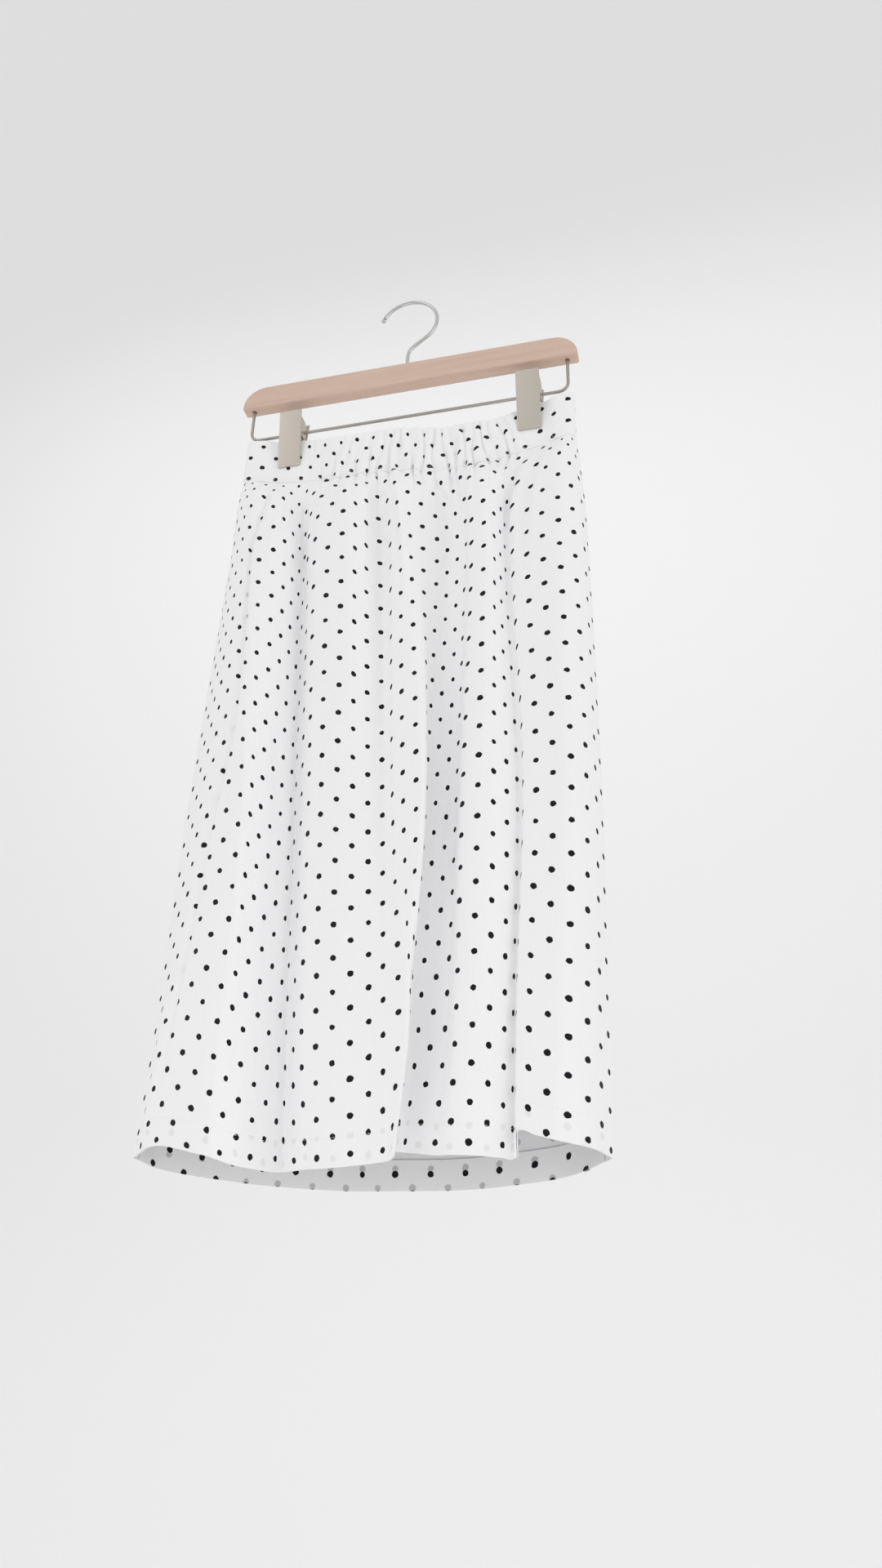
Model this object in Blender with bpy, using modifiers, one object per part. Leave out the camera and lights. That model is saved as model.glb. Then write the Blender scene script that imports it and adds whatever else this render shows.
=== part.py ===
"""Gathered midi skirt with an elastic waist, hanging in the two clips of a wooden clip hanger.

Metres, +Z up. The front of the skirt faces -Y. The origin is the inside top of the
hook, the point that a rail or a nail holds. Every cloth piece is a thin wall lofted
through horizontal sections, which are worked out from the fold tables below.
"""
import math
from bisect import bisect_right

import bmesh
import bpy

MM = 0.001
SEAM_GAP = 0.3 * MM

# Hanger
BAR_LENGTH = 0.360
BAR_HEIGHT = 0.028
BAR_THICKNESS = 0.0137
BAR_CORNER_RADIUS = 0.025
BAR_EDGE_ROUND = 0.0012
BAR_UNDERSIDE_Z = -0.120
HOOK_WIRE_RADIUS = 0.0019
HOOK_ARC_RADIUS = 0.031
HOOK_TIP_ANGLE = 154.0
HOOK_END_ANGLE = -50.0
HOOK_TIP_BALL_RADIUS = 0.0026
HOOK_STEM_TOP_Z = -0.082
HOOK_STEM_DEPTH = 0.012
COLLAR_RADIUS = 0.0038
COLLAR_HEIGHT = 0.0030
LOOP_WIRE_RADIUS = 0.0016
LOOP_LEG_X = 0.1688
LOOP_DROP = 0.0403
LOOP_CORNER_RADIUS = 0.010
LOOP_LEG_DEPTH = 0.010

# Clips
CLIPS = (dict(side="left", x=-0.1212, lean=7.5), dict(side="right", x=0.1299, lean=10.0))
CLIP_WIDTH = 0.024
CLIP_HEIGHT = 0.068
CLIP_SHEET = 0.0012
CLIP_BOTTOM_Z = -0.206
CLIP_EAR_ABOVE_WIRE = 0.014
CLIP_EAR_BELOW_WIRE = 0.008
CLIP_EAR_REACH = 0.0045
SPRING_RADIUS = 0.0033
SPRING_LENGTH = 0.013

# Cloth
CLOTH_WALL = 0.0016
BAND_WALL = 0.0024
BAND_HEIGHT = 0.054
TURN_UP_WALL = 0.0010
TURN_UP_HEIGHT = 0.022
TURN_UP_SHORT = 0.004
FRONT_CUT_WIDTH = 0.561
BACK_CUT_WIDTH = 0.400
WAIST_LEFT_X = -0.171
WAIST_RIGHT_X = 0.174
BAND_CLAMP_Y = (BAND_WALL + SEAM_GAP) / 2
SEAM_MITRE = 1.25
STEPS_PER_FOLD = 5
FRONT_ROWS = 15
BACK_ROWS = 12
BAND_ROWS = 3
PANEL_ROW_CROWDING = 1.35

# Height of the waistband's top edge across the hanger, in mm: it sags between the clips.
WAIST_TOP = (
    dict(x=-171, z=-165), dict(x=-134, z=-170), dict(x=-108, z=-173), dict(x=-64, z=-181),
    dict(x=0, z=-185), dict(x=45, z=-193), dict(x=85, z=-190), dict(x=117, z=-179),
    dict(x=143, z=-173), dict(x=174, z=-167),
)

# Distance of the waistband's two layers from the hanger's middle plane, in mm. Each clip
# presses them together over its own width.
CLAMPED = 1000 * BAND_CLAMP_Y
WAIST_DEPTH = (
    dict(x=-171, front=0.0, back=0.0), dict(x=-166, front=4.4, back=4.0),
    dict(x=-152, front=5.0, back=4.4), dict(x=-136, front=CLAMPED, back=CLAMPED),
    dict(x=-106, front=CLAMPED, back=CLAMPED), dict(x=-60, front=8.0, back=5.5),
    dict(x=0, front=9.5, back=7.0), dict(x=70, front=8.5, back=6.0),
    dict(x=115, front=CLAMPED, back=CLAMPED), dict(x=145, front=CLAMPED, back=CLAMPED),
    dict(x=158, front=5.0, back=4.4), dict(x=169, front=4.4, back=4.0),
    dict(x=174, front=0.0, back=0.0),
)

# Large folds of the front panel, left side seam to right side seam, in mm. u is the place
# on the flat cloth; x and y are where that place hangs high up, half way and at the hem.
FRONT_FOLDS = (
    dict(fold="left side", u=0, top=(-174, -2), mid=(-184, -6), hem=(-190, -10), hem_z=-891),
    dict(fold="left roll side", u=47, top=(-158, -18), mid=(-148, -38), hem=(-153, -46), hem_z=-888),
    dict(fold="left roll", u=88, top=(-139, -31), mid=(-111, -61), hem=(-102, -69), hem_z=-899),
    dict(fold="left roll flank", u=136, top=(-108, -30), mid=(-88, -34), hem=(-67, -46), hem_z=-906),
    dict(fold="left valley", u=177, top=(-92, -12), mid=(-76, -4), hem=(-55, -12), hem_z=-906),
    dict(fold="middle roll side", u=219, top=(-64, -30), mid=(-53, -33), hem=(-31, -44), hem_z=-906),
    dict(fold="middle roll", u=246, top=(-39, -32), mid=(-23, -43), hem=(-4, -58), hem_z=-906),
    dict(fold="middle roll dip", u=274, top=(-21, -18), mid=(1, -38), hem=(20, -61), hem_z=-904),
    dict(fold="middle roll lip", u=303, top=(5, -27), mid=(29, -55), hem=(40, -80), hem_z=-902),
    dict(fold="turn of the lip", u=314, top=(17, -24), mid=(39, -50), hem=(47, -73), hem_z=-900),
    dict(fold="under the lip", u=336, top=(34, -14), mid=(41, -29), hem=(42, -53), hem_z=-898),
    dict(fold="recess", u=363, top=(58, -20), mid=(61, -22), hem=(56, -38), hem_z=-896),
    dict(fold="recess roll", u=411, top=(96, -34), mid=(100, -58), hem=(98, -66), hem_z=-901),
    dict(fold="right valley", u=459, top=(120, -8), mid=(126, -23), hem=(122, -35), hem_z=-899),
    dict(fold="right roll lip", u=480, top=(136, -18), mid=(131, -47), hem=(126, -63), hem_z=-884),
    dict(fold="right roll", u=514, top=(161, -28), mid=(166, -57), hem=(160, -71), hem_z=-893),
    dict(fold="right side", u=561, top=(182, -4), mid=(187, -12), hem=(185, -18), hem_z=-897),
)

# Shallow folds of the back panel, left side seam to right side seam, in the same terms.
BACK_FOLDS = (
    dict(fold="left side", u=0, top=(-174, -2), mid=(-184, -6), hem=(-190, -10), hem_z=-891),
    dict(fold="left turn", u=30, top=(-160, 11), mid=(-170, 14), hem=(-176, 14), hem_z=-897),
    dict(fold="left rise", u=75, top=(-124, 9), mid=(-131, 21), hem=(-134, 26), hem_z=-903),
    dict(fold="left dip", u=125, top=(-81, 15), mid=(-84, 17), hem=(-85, 22), hem_z=-909),
    dict(fold="middle rise", u=180, top=(-32, 10), mid=(-31, 23), hem=(-31, 29), hem_z=-912),
    dict(fold="middle dip", u=225, top=(14, 16), mid=(14, 18), hem=(13, 24), hem_z=-913),
    dict(fold="right rise", u=278, top=(63, 10), mid=(65, 23), hem=(65, 29), hem_z=-912),
    dict(fold="right dip", u=325, top=(110, 14), mid=(112, 18), hem=(111, 23), hem_z=-909),
    dict(fold="right turn", u=368, top=(160, 12), mid=(158, 16), hem=(152, 19), hem_z=-903),
    dict(fold="right side", u=400, top=(182, -4), mid=(187, -12), hem=(185, -18), hem_z=-897),
)

# Where the stations of the fold tables lie down a panel, as parts of its length.
TOP_STATION = 0.15
MID_STATION = 0.57

# Gathers drawn up by the elastic, in mm: place on the flat cloth, half width, how far the
# cloth stands out at the seam and how far down the panel the gather fades.
FRONT_GATHERS = (
    dict(u=118, width=11, rise=4.0, length=150), dict(u=148, width=9, rise=3.0, length=90),
    dict(u=176, width=10, rise=4.5, length=190), dict(u=206, width=9, rise=3.5, length=110),
    dict(u=232, width=10, rise=4.5, length=240), dict(u=262, width=9, rise=3.0, length=120),
    dict(u=290, width=10, rise=4.5, length=260), dict(u=318, width=9, rise=3.5, length=140),
    dict(u=346, width=10, rise=4.5, length=210), dict(u=374, width=9, rise=3.0, length=100),
    dict(u=402, width=10, rise=4.5, length=240), dict(u=431, width=9, rise=4.0, length=150),
)
BACK_GATHERS = (
    dict(u=96, width=11, rise=2.5, length=160), dict(u=130, width=10, rise=2.0, length=110),
    dict(u=166, width=11, rise=2.5, length=200), dict(u=202, width=10, rise=2.0, length=120),
    dict(u=238, width=11, rise=2.5, length=190), dict(u=272, width=10, rise=2.0, length=110),
    dict(u=304, width=11, rise=2.5, length=150),
)


def slopes_through(xs, ys):
    """Slope of a smooth curve at each of its points."""
    count = len(xs)
    slopes = []
    for i in range(count):
        low = max(i - 1, 0)
        high = min(i + 1, count - 1)
        slopes.append((ys[high] - ys[low]) / (xs[high] - xs[low]))
    return slopes


def level_slopes(xs, ys):
    """Slopes that never carry the curve past its own points."""
    steps = [(ys[i + 1] - ys[i]) / (xs[i + 1] - xs[i]) for i in range(len(xs) - 1)]
    slopes = [steps[0]]
    for before, after in zip(steps, steps[1:]):
        if before * after <= 0.0:
            slopes.append(0.0)
        else:
            slopes.append(2.0 * before * after / (before + after))
    slopes.append(steps[-1])
    return slopes


def on_curve(xs, ys, slopes, x):
    """Value at x of the cubic curve through the points (xs, ys)."""
    i = min(max(bisect_right(xs, x) - 1, 0), len(xs) - 2)
    span = xs[i + 1] - xs[i]
    t = min(max((x - xs[i]) / span, 0.0), 1.0)
    rest = 1.0 - t
    ends = ys[i] * (1.0 + 2.0 * t) * rest * rest + ys[i + 1] * t * t * (3.0 - 2.0 * t)
    bends = slopes[i] * t * rest * rest - slopes[i + 1] * t * t * rest
    return ends + bends * span


def table_curve(rows, key, value, slope_rule):
    """Function of one column of a table, in metres, from another column in metres."""
    xs = [row[key] * MM for row in rows]
    ys = [row[value] * MM for row in rows]
    slopes = slope_rule(xs, ys)
    return lambda x: on_curve(xs, ys, slopes, x)


waist_top_z = table_curve(WAIST_TOP, "x", "z", level_slopes)
waist_depth = {
    "front": table_curve(WAIST_DEPTH, "x", "front", level_slopes),
    "back": table_curve(WAIST_DEPTH, "x", "back", level_slopes),
}


class Panel:
    """One panel of the skirt, with the half of the waistband that is sewn to its top."""

    def __init__(self, side, folds, gathers, cut_width):
        self.side = side
        self.outward = -1.0 if side == "front" else 1.0
        self.gathers = gathers
        self.cut_width = cut_width
        self.us = [row["u"] * MM for row in folds]
        self.stations = []
        for station in ("top", "mid", "hem"):
            for axis in (0, 1):
                values = [row[station][axis] * MM for row in folds]
                self.stations.append((values, slopes_through(self.us, values)))
        hem_z = [row["hem_z"] * MM for row in folds]
        self.hem_z = (hem_z, slopes_through(self.us, hem_z))

    def gathered(self, u, down):
        """How far the gathers stand out at u, a length `down` below the waist seam."""
        total = 0.0
        for row in self.gathers:
            away = (u - row["u"] * MM) / (row["width"] * MM)
            fade = max(0.0, 1.0 - down / (row["length"] * MM))
            total += row["rise"] * MM * math.exp(-away * away) * fade * fade
        return total

    def at_waist(self, u):
        """Point of the waist seam, without gathers."""
        x = WAIST_LEFT_X + (WAIST_RIGHT_X - WAIST_LEFT_X) * u / self.cut_width
        return x, self.outward * waist_depth[self.side](x)

    def clear_of_clips(self, x):
        """0 under a clip's plates, 1 away from them."""
        nearest = min(abs(x - clip["x"]) for clip in CLIPS)
        t = min(max((nearest - 0.015) / 0.014, 0.0), 1.0)
        return t * t * (3.0 - 2.0 * t)

    def skirt_point(self, u, t):
        """Point of the skirt panel at u, a part t of the way from waist seam to hem."""
        x0, y0 = self.at_waist(u)
        places = [on_curve(self.us, values, slopes, u) for values, slopes in self.stations]
        heights = (0.0, TOP_STATION, MID_STATION, 1.0)
        point = []
        for start, along in ((x0, places[0::2]), (y0, places[1::2])):
            values = (start, *along)
            point.append(on_curve(heights, values, slopes_through(heights, values), t))
        seam_z = waist_top_z(x0) - BAND_HEIGHT
        hem_z = on_curve(self.us, *self.hem_z, u)
        z = seam_z + (hem_z - seam_z) * t
        stand = self.gathered(u, seam_z - z) * self.clear_of_clips(x0)
        return point[0], point[1] + self.outward * stand, z

    def band_point(self, u, t):
        """Point of the waistband at u, a part t of the way from top edge to waist seam."""
        x, y = self.at_waist(u)
        stand = self.gathered(u, 0.0) * self.clear_of_clips(x) * (0.45 + 0.55 * t)
        return x, y + self.outward * stand, waist_top_z(x) - BAND_HEIGHT * t

    def steps_across(self, short):
        """Places on the cloth where the sections have their points, short of the side seams."""
        places = []
        for low, high in zip(self.us, self.us[1:]):
            places += [low + (high - low) * i / STEPS_PER_FOLD for i in range(STEPS_PER_FOLD)]
        places.append(self.us[-1])
        places[0] += short
        places[-1] -= short
        return places


def section(panel, point_at, places, t, move, mitred):
    """Points of one level section of a panel, moved out of the cloth by `move`."""
    middle = [point_at(u, t) for u in places]
    last = len(places) - 1
    moved = []
    for i, (x, y, z) in enumerate(middle):
        before, after = middle[max(i - 1, 0)], middle[min(i + 1, last)]
        run_x, run_y = after[0] - before[0], after[1] - before[1]
        size = math.hypot(run_x, run_y)
        out_x, out_y = -panel.outward * run_y / size, panel.outward * run_x / size
        if mitred and i in (0, last):
            out_x, out_y = (-SEAM_MITRE if i == 0 else SEAM_MITRE), 0.0
            y += panel.outward * SEAM_GAP / 2
        moved.append((x + out_x * move, y + out_y * move, z))
    return moved


def wall_from(name, panel, point_at, heights, wall, inset=0.0, short=0.0):
    """Closed wall about the surface point_at(u, t), moved in from it by inset."""
    mesh = bpy.data.meshes.new(name)
    grid = bmesh.new()
    places = panel.steps_across(short)
    faces_of_wall = []
    for move in (wall / 2 - inset, -wall / 2 - inset):
        sections = [section(panel, point_at, places, t, move, short == 0.0) for t in heights]
        faces_of_wall.append([[grid.verts.new(point) for point in row] for row in sections])
    outer, inner = faces_of_wall
    last_row = len(heights) - 1
    last_step = len(places) - 1
    for j in range(last_row):
        for i in range(last_step):
            grid.faces.new((outer[j][i], outer[j][i + 1], outer[j + 1][i + 1], outer[j + 1][i]))
            grid.faces.new((inner[j][i], inner[j + 1][i], inner[j + 1][i + 1], inner[j][i + 1]))
    for i in range(last_step):
        for j in (0, last_row):
            grid.faces.new((outer[j][i], outer[j][i + 1], inner[j][i + 1], inner[j][i]))
    for j in range(last_row):
        for i in (0, last_step):
            grid.faces.new((outer[j][i], outer[j + 1][i], inner[j + 1][i], inner[j][i]))
    bmesh.ops.recalc_face_normals(grid, faces=grid.faces)
    grid.to_mesh(mesh)
    grid.free()
    return bpy.data.objects.new(name, mesh)


def spread(count, start=0.0, end=1.0, closer_at_start=1.0):
    """Heights from start to end, closer together at the start where the power is over 1."""
    return [start + (end - start) * (i / count) ** closer_at_start for i in range(count + 1)]


def add(collection, thing, material=None):
    """Put an object in its collection, with its material."""
    collection.objects.link(thing)
    if material is not None:
        thing.data.materials.append(material)
    return thing


def surface(name, colour, roughness, metallic=0.0):
    """Principled material of one plain colour."""
    material = bpy.data.materials.new(name)
    material.use_nodes = True
    shader = material.node_tree.nodes["Principled BSDF"]
    shader.inputs["Base Color"].default_value = (*colour, 1.0)
    shader.inputs["Roughness"].default_value = roughness
    shader.inputs["Metallic"].default_value = metallic
    return material


def smooth(thing, angle=40.0):
    """Shade round faces smooth and keep the sharp edges."""
    thing.data.shade_smooth()
    thing.data.set_sharp_from_angle(angle=math.radians(angle))


def wire(name, points, radius):
    """Round wire with closed ends along a list of points."""
    curve = bpy.data.curves.new(name, "CURVE")
    curve.dimensions = "3D"
    curve.bevel_depth = radius
    curve.bevel_resolution = 2
    curve.use_fill_caps = True
    spline = curve.splines.new("POLY")
    spline.points.add(len(points) - 1)
    for place, point in zip(spline.points, points):
        place.co = (*point, 1.0)
    return bpy.data.objects.new(name, curve)


def arc(centre, radius, start, end, steps):
    """Points of an arc in the hanger's own plane, angles in degrees from +X towards +Z."""
    points = []
    for i in range(steps + 1):
        angle = math.radians(start + (end - start) * i / steps)
        points.append((centre[0] + radius * math.cos(angle), 0.0, centre[1] + radius * math.sin(angle)))
    return points


def curve_to_mesh(thing):
    """Mesh object with the shape of a curve object, its caps welded."""
    evaluated = thing.evaluated_get(bpy.context.evaluated_depsgraph_get())
    mesh = bpy.data.meshes.new_from_object(evaluated)
    welded = bmesh.new()
    welded.from_mesh(mesh)
    bmesh.ops.remove_doubles(welded, verts=welded.verts, dist=0.01 * MM)
    welded.to_mesh(mesh)
    welded.free()
    made = bpy.data.objects.new(thing.name + "_mesh", mesh)
    made.matrix_world = thing.matrix_world.copy()
    name = thing.name
    bpy.data.objects.remove(thing)
    made.name = name
    return made


def cylinder(name, radius, length, centre, axis):
    """Closed cylinder about a centre, along X or Z."""
    mesh = bpy.data.meshes.new(name)
    body = bmesh.new()
    bmesh.ops.create_cone(body, cap_ends=True, segments=24, radius1=radius, radius2=radius, depth=length)
    body.to_mesh(mesh)
    body.free()
    made = bpy.data.objects.new(name, mesh)
    made.location = centre
    if axis == "X":
        made.rotation_euler = (0.0, math.radians(90.0), 0.0)
    return made


def block(name, size, centre, lean=0.0, pivot=(0.0, 0.0, 0.0)):
    """Box of a size about a centre given from a pivot, leaned about X at that pivot."""
    mesh = bpy.data.meshes.new(name)
    body = bmesh.new()
    bmesh.ops.create_cube(body, size=1.0)
    for vert in body.verts:
        vert.co = [c * s + m for c, s, m in zip(vert.co, size, centre)]
    body.to_mesh(mesh)
    body.free()
    made = bpy.data.objects.new(name, mesh)
    made.location = pivot
    made.rotation_euler = (lean, 0.0, 0.0)
    return made


def as_guide(collection, thing):
    """Keep a cutting or joining shape in the guides' collection, out of the model."""
    collection.objects.link(thing)
    thing.hide_render = True
    thing.display_type = "WIRE"
    return thing


def join_or_cut(thing, other, operation):
    """Boolean of one object by another."""
    step = thing.modifiers.new(operation.title(), "BOOLEAN")
    step.operation = operation
    step.object = other


def round_edges(thing, width, segments=2):
    """Bevel the sharp edges."""
    step = thing.modifiers.new("Bevel", "BEVEL")
    step.width = width
    step.segments = segments
    step.limit_method = "ANGLE"
    step.angle_limit = math.radians(35.0)


def make_bar(parts, guides, material):
    """Straight wooden bar with quarter-round top corners and three drilled holes."""
    half = BAR_LENGTH / 2
    low, high = BAR_UNDERSIDE_Z, BAR_UNDERSIDE_Z + BAR_HEIGHT
    turn_z = high - BAR_CORNER_RADIUS
    right = arc((half - BAR_CORNER_RADIUS, turn_z), BAR_CORNER_RADIUS, 0.0, 90.0, 8)
    left = arc((BAR_CORNER_RADIUS - half, turn_z), BAR_CORNER_RADIUS, 90.0, 180.0, 8)
    outline = [(-half, 0.0, low), (half, 0.0, low), *right, *left]
    curve = bpy.data.curves.new("hanger_bar", "CURVE")
    curve.dimensions = "2D"
    curve.fill_mode = "BOTH"
    curve.extrude = BAR_THICKNESS / 2
    spline = curve.splines.new("POLY")
    spline.points.add(len(outline) - 1)
    for place, (x, _, z) in zip(spline.points, outline):
        place.co = (x, z, 0.0, 1.0)
    spline.use_cyclic_u = True
    flat = bpy.data.objects.new("hanger_bar", curve)
    flat.rotation_euler = (math.radians(90.0), 0.0, 0.0)
    parts.objects.link(flat)
    bpy.context.view_layer.update()
    bar = add(parts, curve_to_mesh(flat), material)
    round_edges(bar, BAR_EDGE_ROUND)
    holes = [("stem_hole", 0.0, HOOK_WIRE_RADIUS, high, HOOK_STEM_DEPTH)]
    holes += [("leg_hole_" + side, x, LOOP_WIRE_RADIUS, low, LOOP_LEG_DEPTH)
              for side, x in (("left", -LOOP_LEG_X), ("right", LOOP_LEG_X))]
    for name, x, radius, mouth_z, depth in holes:
        cutter = cylinder(name, radius + SEAM_GAP, 2 * (depth + SEAM_GAP), (x, 0.0, mouth_z), "Z")
        join_or_cut(bar, as_guide(guides, cutter), "DIFFERENCE")
    smooth(bar)


def make_hook(parts, material):
    """Hook of round wire, its ball tip and the collar round its stem."""
    centre = (0.0, HOOK_WIRE_RADIUS - HOOK_ARC_RADIUS)
    bend = arc(centre, HOOK_ARC_RADIUS, HOOK_TIP_ANGLE, HOOK_END_ANGLE, 26)
    start = bend[-1]
    heading = math.radians(HOOK_END_ANGLE - 90.0)
    pull = 0.022
    near_start = (start[0] + pull * math.cos(heading), 0.0, start[2] + pull * math.sin(heading))
    near_stem = (0.0, 0.0, HOOK_STEM_TOP_Z + pull * 0.7)
    stem = (0.0, 0.0, HOOK_STEM_TOP_Z)
    sweep = []
    for i in range(1, 11):
        t = i / 10
        weights = ((1 - t) ** 3, 3 * t * (1 - t) ** 2, 3 * t * t * (1 - t), t ** 3)
        controls = (start, near_start, near_stem, stem)
        sweep.append(tuple(sum(w * c[k] for w, c in zip(weights, controls)) for k in range(3)))
    foot = (0.0, 0.0, BAR_UNDERSIDE_Z + BAR_HEIGHT - HOOK_STEM_DEPTH)
    hook = wire("hook", [*bend, *sweep, foot], HOOK_WIRE_RADIUS)
    parts.objects.link(hook)
    bpy.context.view_layer.update()
    smooth(add(parts, curve_to_mesh(hook), material))
    tip_angle = math.radians(HOOK_TIP_ANGLE)
    along = HOOK_TIP_BALL_RADIUS + SEAM_GAP
    tip = bpy.data.meshes.new("hook_tip")
    ball = bmesh.new()
    bmesh.ops.create_uvsphere(ball, u_segments=14, v_segments=8, radius=HOOK_TIP_BALL_RADIUS)
    ball.to_mesh(tip)
    ball.free()
    tip_object = add(parts, bpy.data.objects.new("hook_tip", tip), material)
    tip_object.location = (bend[0][0] - along * math.sin(tip_angle), 0.0,
                           bend[0][2] + along * math.cos(tip_angle))
    smooth(tip_object, 60.0)
    bar_top = BAR_UNDERSIDE_Z + BAR_HEIGHT + SEAM_GAP
    inside = HOOK_WIRE_RADIUS + SEAM_GAP
    turned("hook_collar", parts, material, (0.0, 0.0, bar_top), (
        (inside, COLLAR_HEIGHT), (COLLAR_RADIUS * 0.8, COLLAR_HEIGHT), (COLLAR_RADIUS, COLLAR_HEIGHT * 0.6),
        (COLLAR_RADIUS, 0.0), (inside, 0.0)))


def turned(name, parts, material, location, profile, along_x=False):
    """Ring turned about Z, or about X, from a closed profile of (radius, height) points."""
    mesh = bpy.data.meshes.new(name)
    mesh.from_pydata([(r, 0.0, z) for r, z in profile],
                     [(i, (i + 1) % len(profile)) for i in range(len(profile))], [])
    ring = add(parts, bpy.data.objects.new(name, mesh), material)
    ring.location = location
    if along_x:
        ring.rotation_euler = (0.0, math.radians(90.0), 0.0)
    screw = ring.modifiers.new("Screw", "SCREW")
    screw.steps = 20
    screw.render_steps = 20
    screw.use_merge_vertices = True
    screw.merge_threshold = 0.01 * MM
    screw.use_smooth_shade = True


def make_wire_loop(parts, material):
    """Square loop of wire below the bar, its ends let into the bar's underside."""
    run_z = BAR_UNDERSIDE_Z - LOOP_DROP
    end_z = BAR_UNDERSIDE_Z + LOOP_LEG_DEPTH
    turn_x = LOOP_LEG_X - LOOP_CORNER_RADIUS
    turn_z = run_z + LOOP_CORNER_RADIUS
    left = arc((-turn_x, turn_z), LOOP_CORNER_RADIUS, 180.0, 270.0, 6)
    right = arc((turn_x, turn_z), LOOP_CORNER_RADIUS, 270.0, 360.0, 6)
    middle = [(turn_x * (i / 6 - 1), 0.0, run_z) for i in range(1, 12)]
    points = [(-LOOP_LEG_X, 0.0, end_z), *left, *middle, *right, (LOOP_LEG_X, 0.0, end_z)]
    loop = wire("wire_loop", points, LOOP_WIRE_RADIUS)
    parts.objects.link(loop)
    bpy.context.view_layer.update()
    smooth(add(parts, curve_to_mesh(loop), material))


def make_clip(side, x, lean, parts, guides, plate_material, spring_material):
    """Spring clip on the wire: two plates with ears round the wire, and the spring between."""
    wire_z = BAR_UNDERSIDE_Z - LOOP_DROP
    jaw_y = BAND_CLAMP_Y + BAND_WALL / 2 + SEAM_GAP
    up = wire_z - CLIP_BOTTOM_Z
    ear_height = CLIP_EAR_ABOVE_WIRE + CLIP_EAR_BELOW_WIRE
    ear_up = up + (CLIP_EAR_ABOVE_WIRE - CLIP_EAR_BELOW_WIRE) / 2
    ear_end = jaw_y + up * math.tan(math.radians(lean)) + CLIP_EAR_REACH
    ear_size = (CLIP_SHEET, ear_end + CLIP_SHEET / 2, ear_height)
    for face, outward, ear_x in (("front", -1.0, CLIP_WIDTH / 2 - CLIP_SHEET / 2),
                                 ("back", 1.0, CLIP_WIDTH / 2 - 1.5 * CLIP_SHEET - SEAM_GAP)):
        name = "clip_%s_%s" % (side, face)
        pivot = (x, outward * jaw_y, CLIP_BOTTOM_Z)
        tilt = -outward * math.radians(lean)
        centre = (0.0, outward * CLIP_SHEET / 2, CLIP_HEIGHT / 2)
        plate = block(name, (CLIP_WIDTH, CLIP_SHEET, CLIP_HEIGHT), centre, tilt, pivot)
        add(parts, plate, plate_material)
        ear_y = outward * (CLIP_SHEET / 2 - ear_end) / 2
        for number, direction in enumerate((-1.0, 1.0)):
            ear = block("%s_ear_%d" % (name, number), ear_size, (direction * ear_x, ear_y, ear_up), tilt, pivot)
            join_or_cut(plate, as_guide(guides, ear), "UNION")
        bore = cylinder(name + "_bore", LOOP_WIRE_RADIUS + SEAM_GAP, 1.5 * CLIP_WIDTH, (x, 0.0, wire_z), "X")
        join_or_cut(plate, as_guide(guides, bore), "DIFFERENCE")
        smooth(plate, 30.0)
    inside = LOOP_WIRE_RADIUS + SEAM_GAP
    half = SPRING_LENGTH / 2
    turned("clip_%s_spring" % side, parts, spring_material, (x, 0.0, wire_z),
           ((inside, half), (SPRING_RADIUS, half), (SPRING_RADIUS, -half), (inside, -half)), along_x=True)


def make_cloth(parts, panel_material, band_material):
    """The skirt's two panels, the waistband's two halves and the turned-up hem inside."""
    panels = (
        (Panel("front", FRONT_FOLDS, FRONT_GATHERS, FRONT_CUT_WIDTH), FRONT_ROWS),
        (Panel("back", BACK_FOLDS, BACK_GATHERS, BACK_CUT_WIDTH), BACK_ROWS),
    )
    length = BAR_UNDERSIDE_Z - BAND_HEIGHT - FRONT_FOLDS[0]["hem_z"] * MM
    for panel, rows in panels:
        skirt_top = SEAM_GAP / length
        name = "skirt_" + panel.side
        skirt = wall_from(name, panel, panel.skirt_point, spread(rows, skirt_top, 1.0, PANEL_ROW_CROWDING), CLOTH_WALL)
        smooth(add(parts, skirt, panel_material), 60.0)
        name = "waistband_" + panel.side
        band = wall_from(name, panel, panel.band_point, spread(BAND_ROWS), BAND_WALL)
        smooth(add(parts, band, band_material), 60.0)
        name = "hem_turn_up_" + panel.side
        inset = CLOTH_WALL / 2 + SEAM_GAP + TURN_UP_WALL / 2
        fold_top = 1.0 - TURN_UP_HEIGHT / length
        turn_up = wall_from(name, panel, panel.skirt_point, (fold_top, 1.0), TURN_UP_WALL, inset,
                            TURN_UP_SHORT)
        smooth(add(parts, turn_up, panel_material), 60.0)


def main():
    for thing in list(bpy.data.objects):
        bpy.data.objects.remove(thing)
    parts = bpy.data.collections.new("midi_skirt_on_clip_hanger")
    guides = bpy.data.collections.new("guides")
    bpy.context.scene.collection.children.link(parts)
    bpy.context.scene.collection.children.link(guides)
    beech = surface("beech", (0.62, 0.45, 0.36), 0.55)
    chrome = surface("polished_chrome", (0.80, 0.80, 0.80), 0.12, 1.0)
    steel = surface("plated_wire", (0.62, 0.60, 0.58), 0.35, 1.0)
    nickel = surface("satin_nickel", (0.60, 0.55, 0.49), 0.45, 1.0)
    cotton = surface("dotted_cotton", (0.90, 0.90, 0.90), 0.85)
    make_bar(parts, guides, beech)
    make_hook(parts, chrome)
    make_wire_loop(parts, steel)
    for clip in CLIPS:
        make_clip(clip["side"], clip["x"], clip["lean"], parts, guides, nickel, steel)
    make_cloth(parts, cotton, cotton)


if __name__ == "__main__":
    main()
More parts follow.
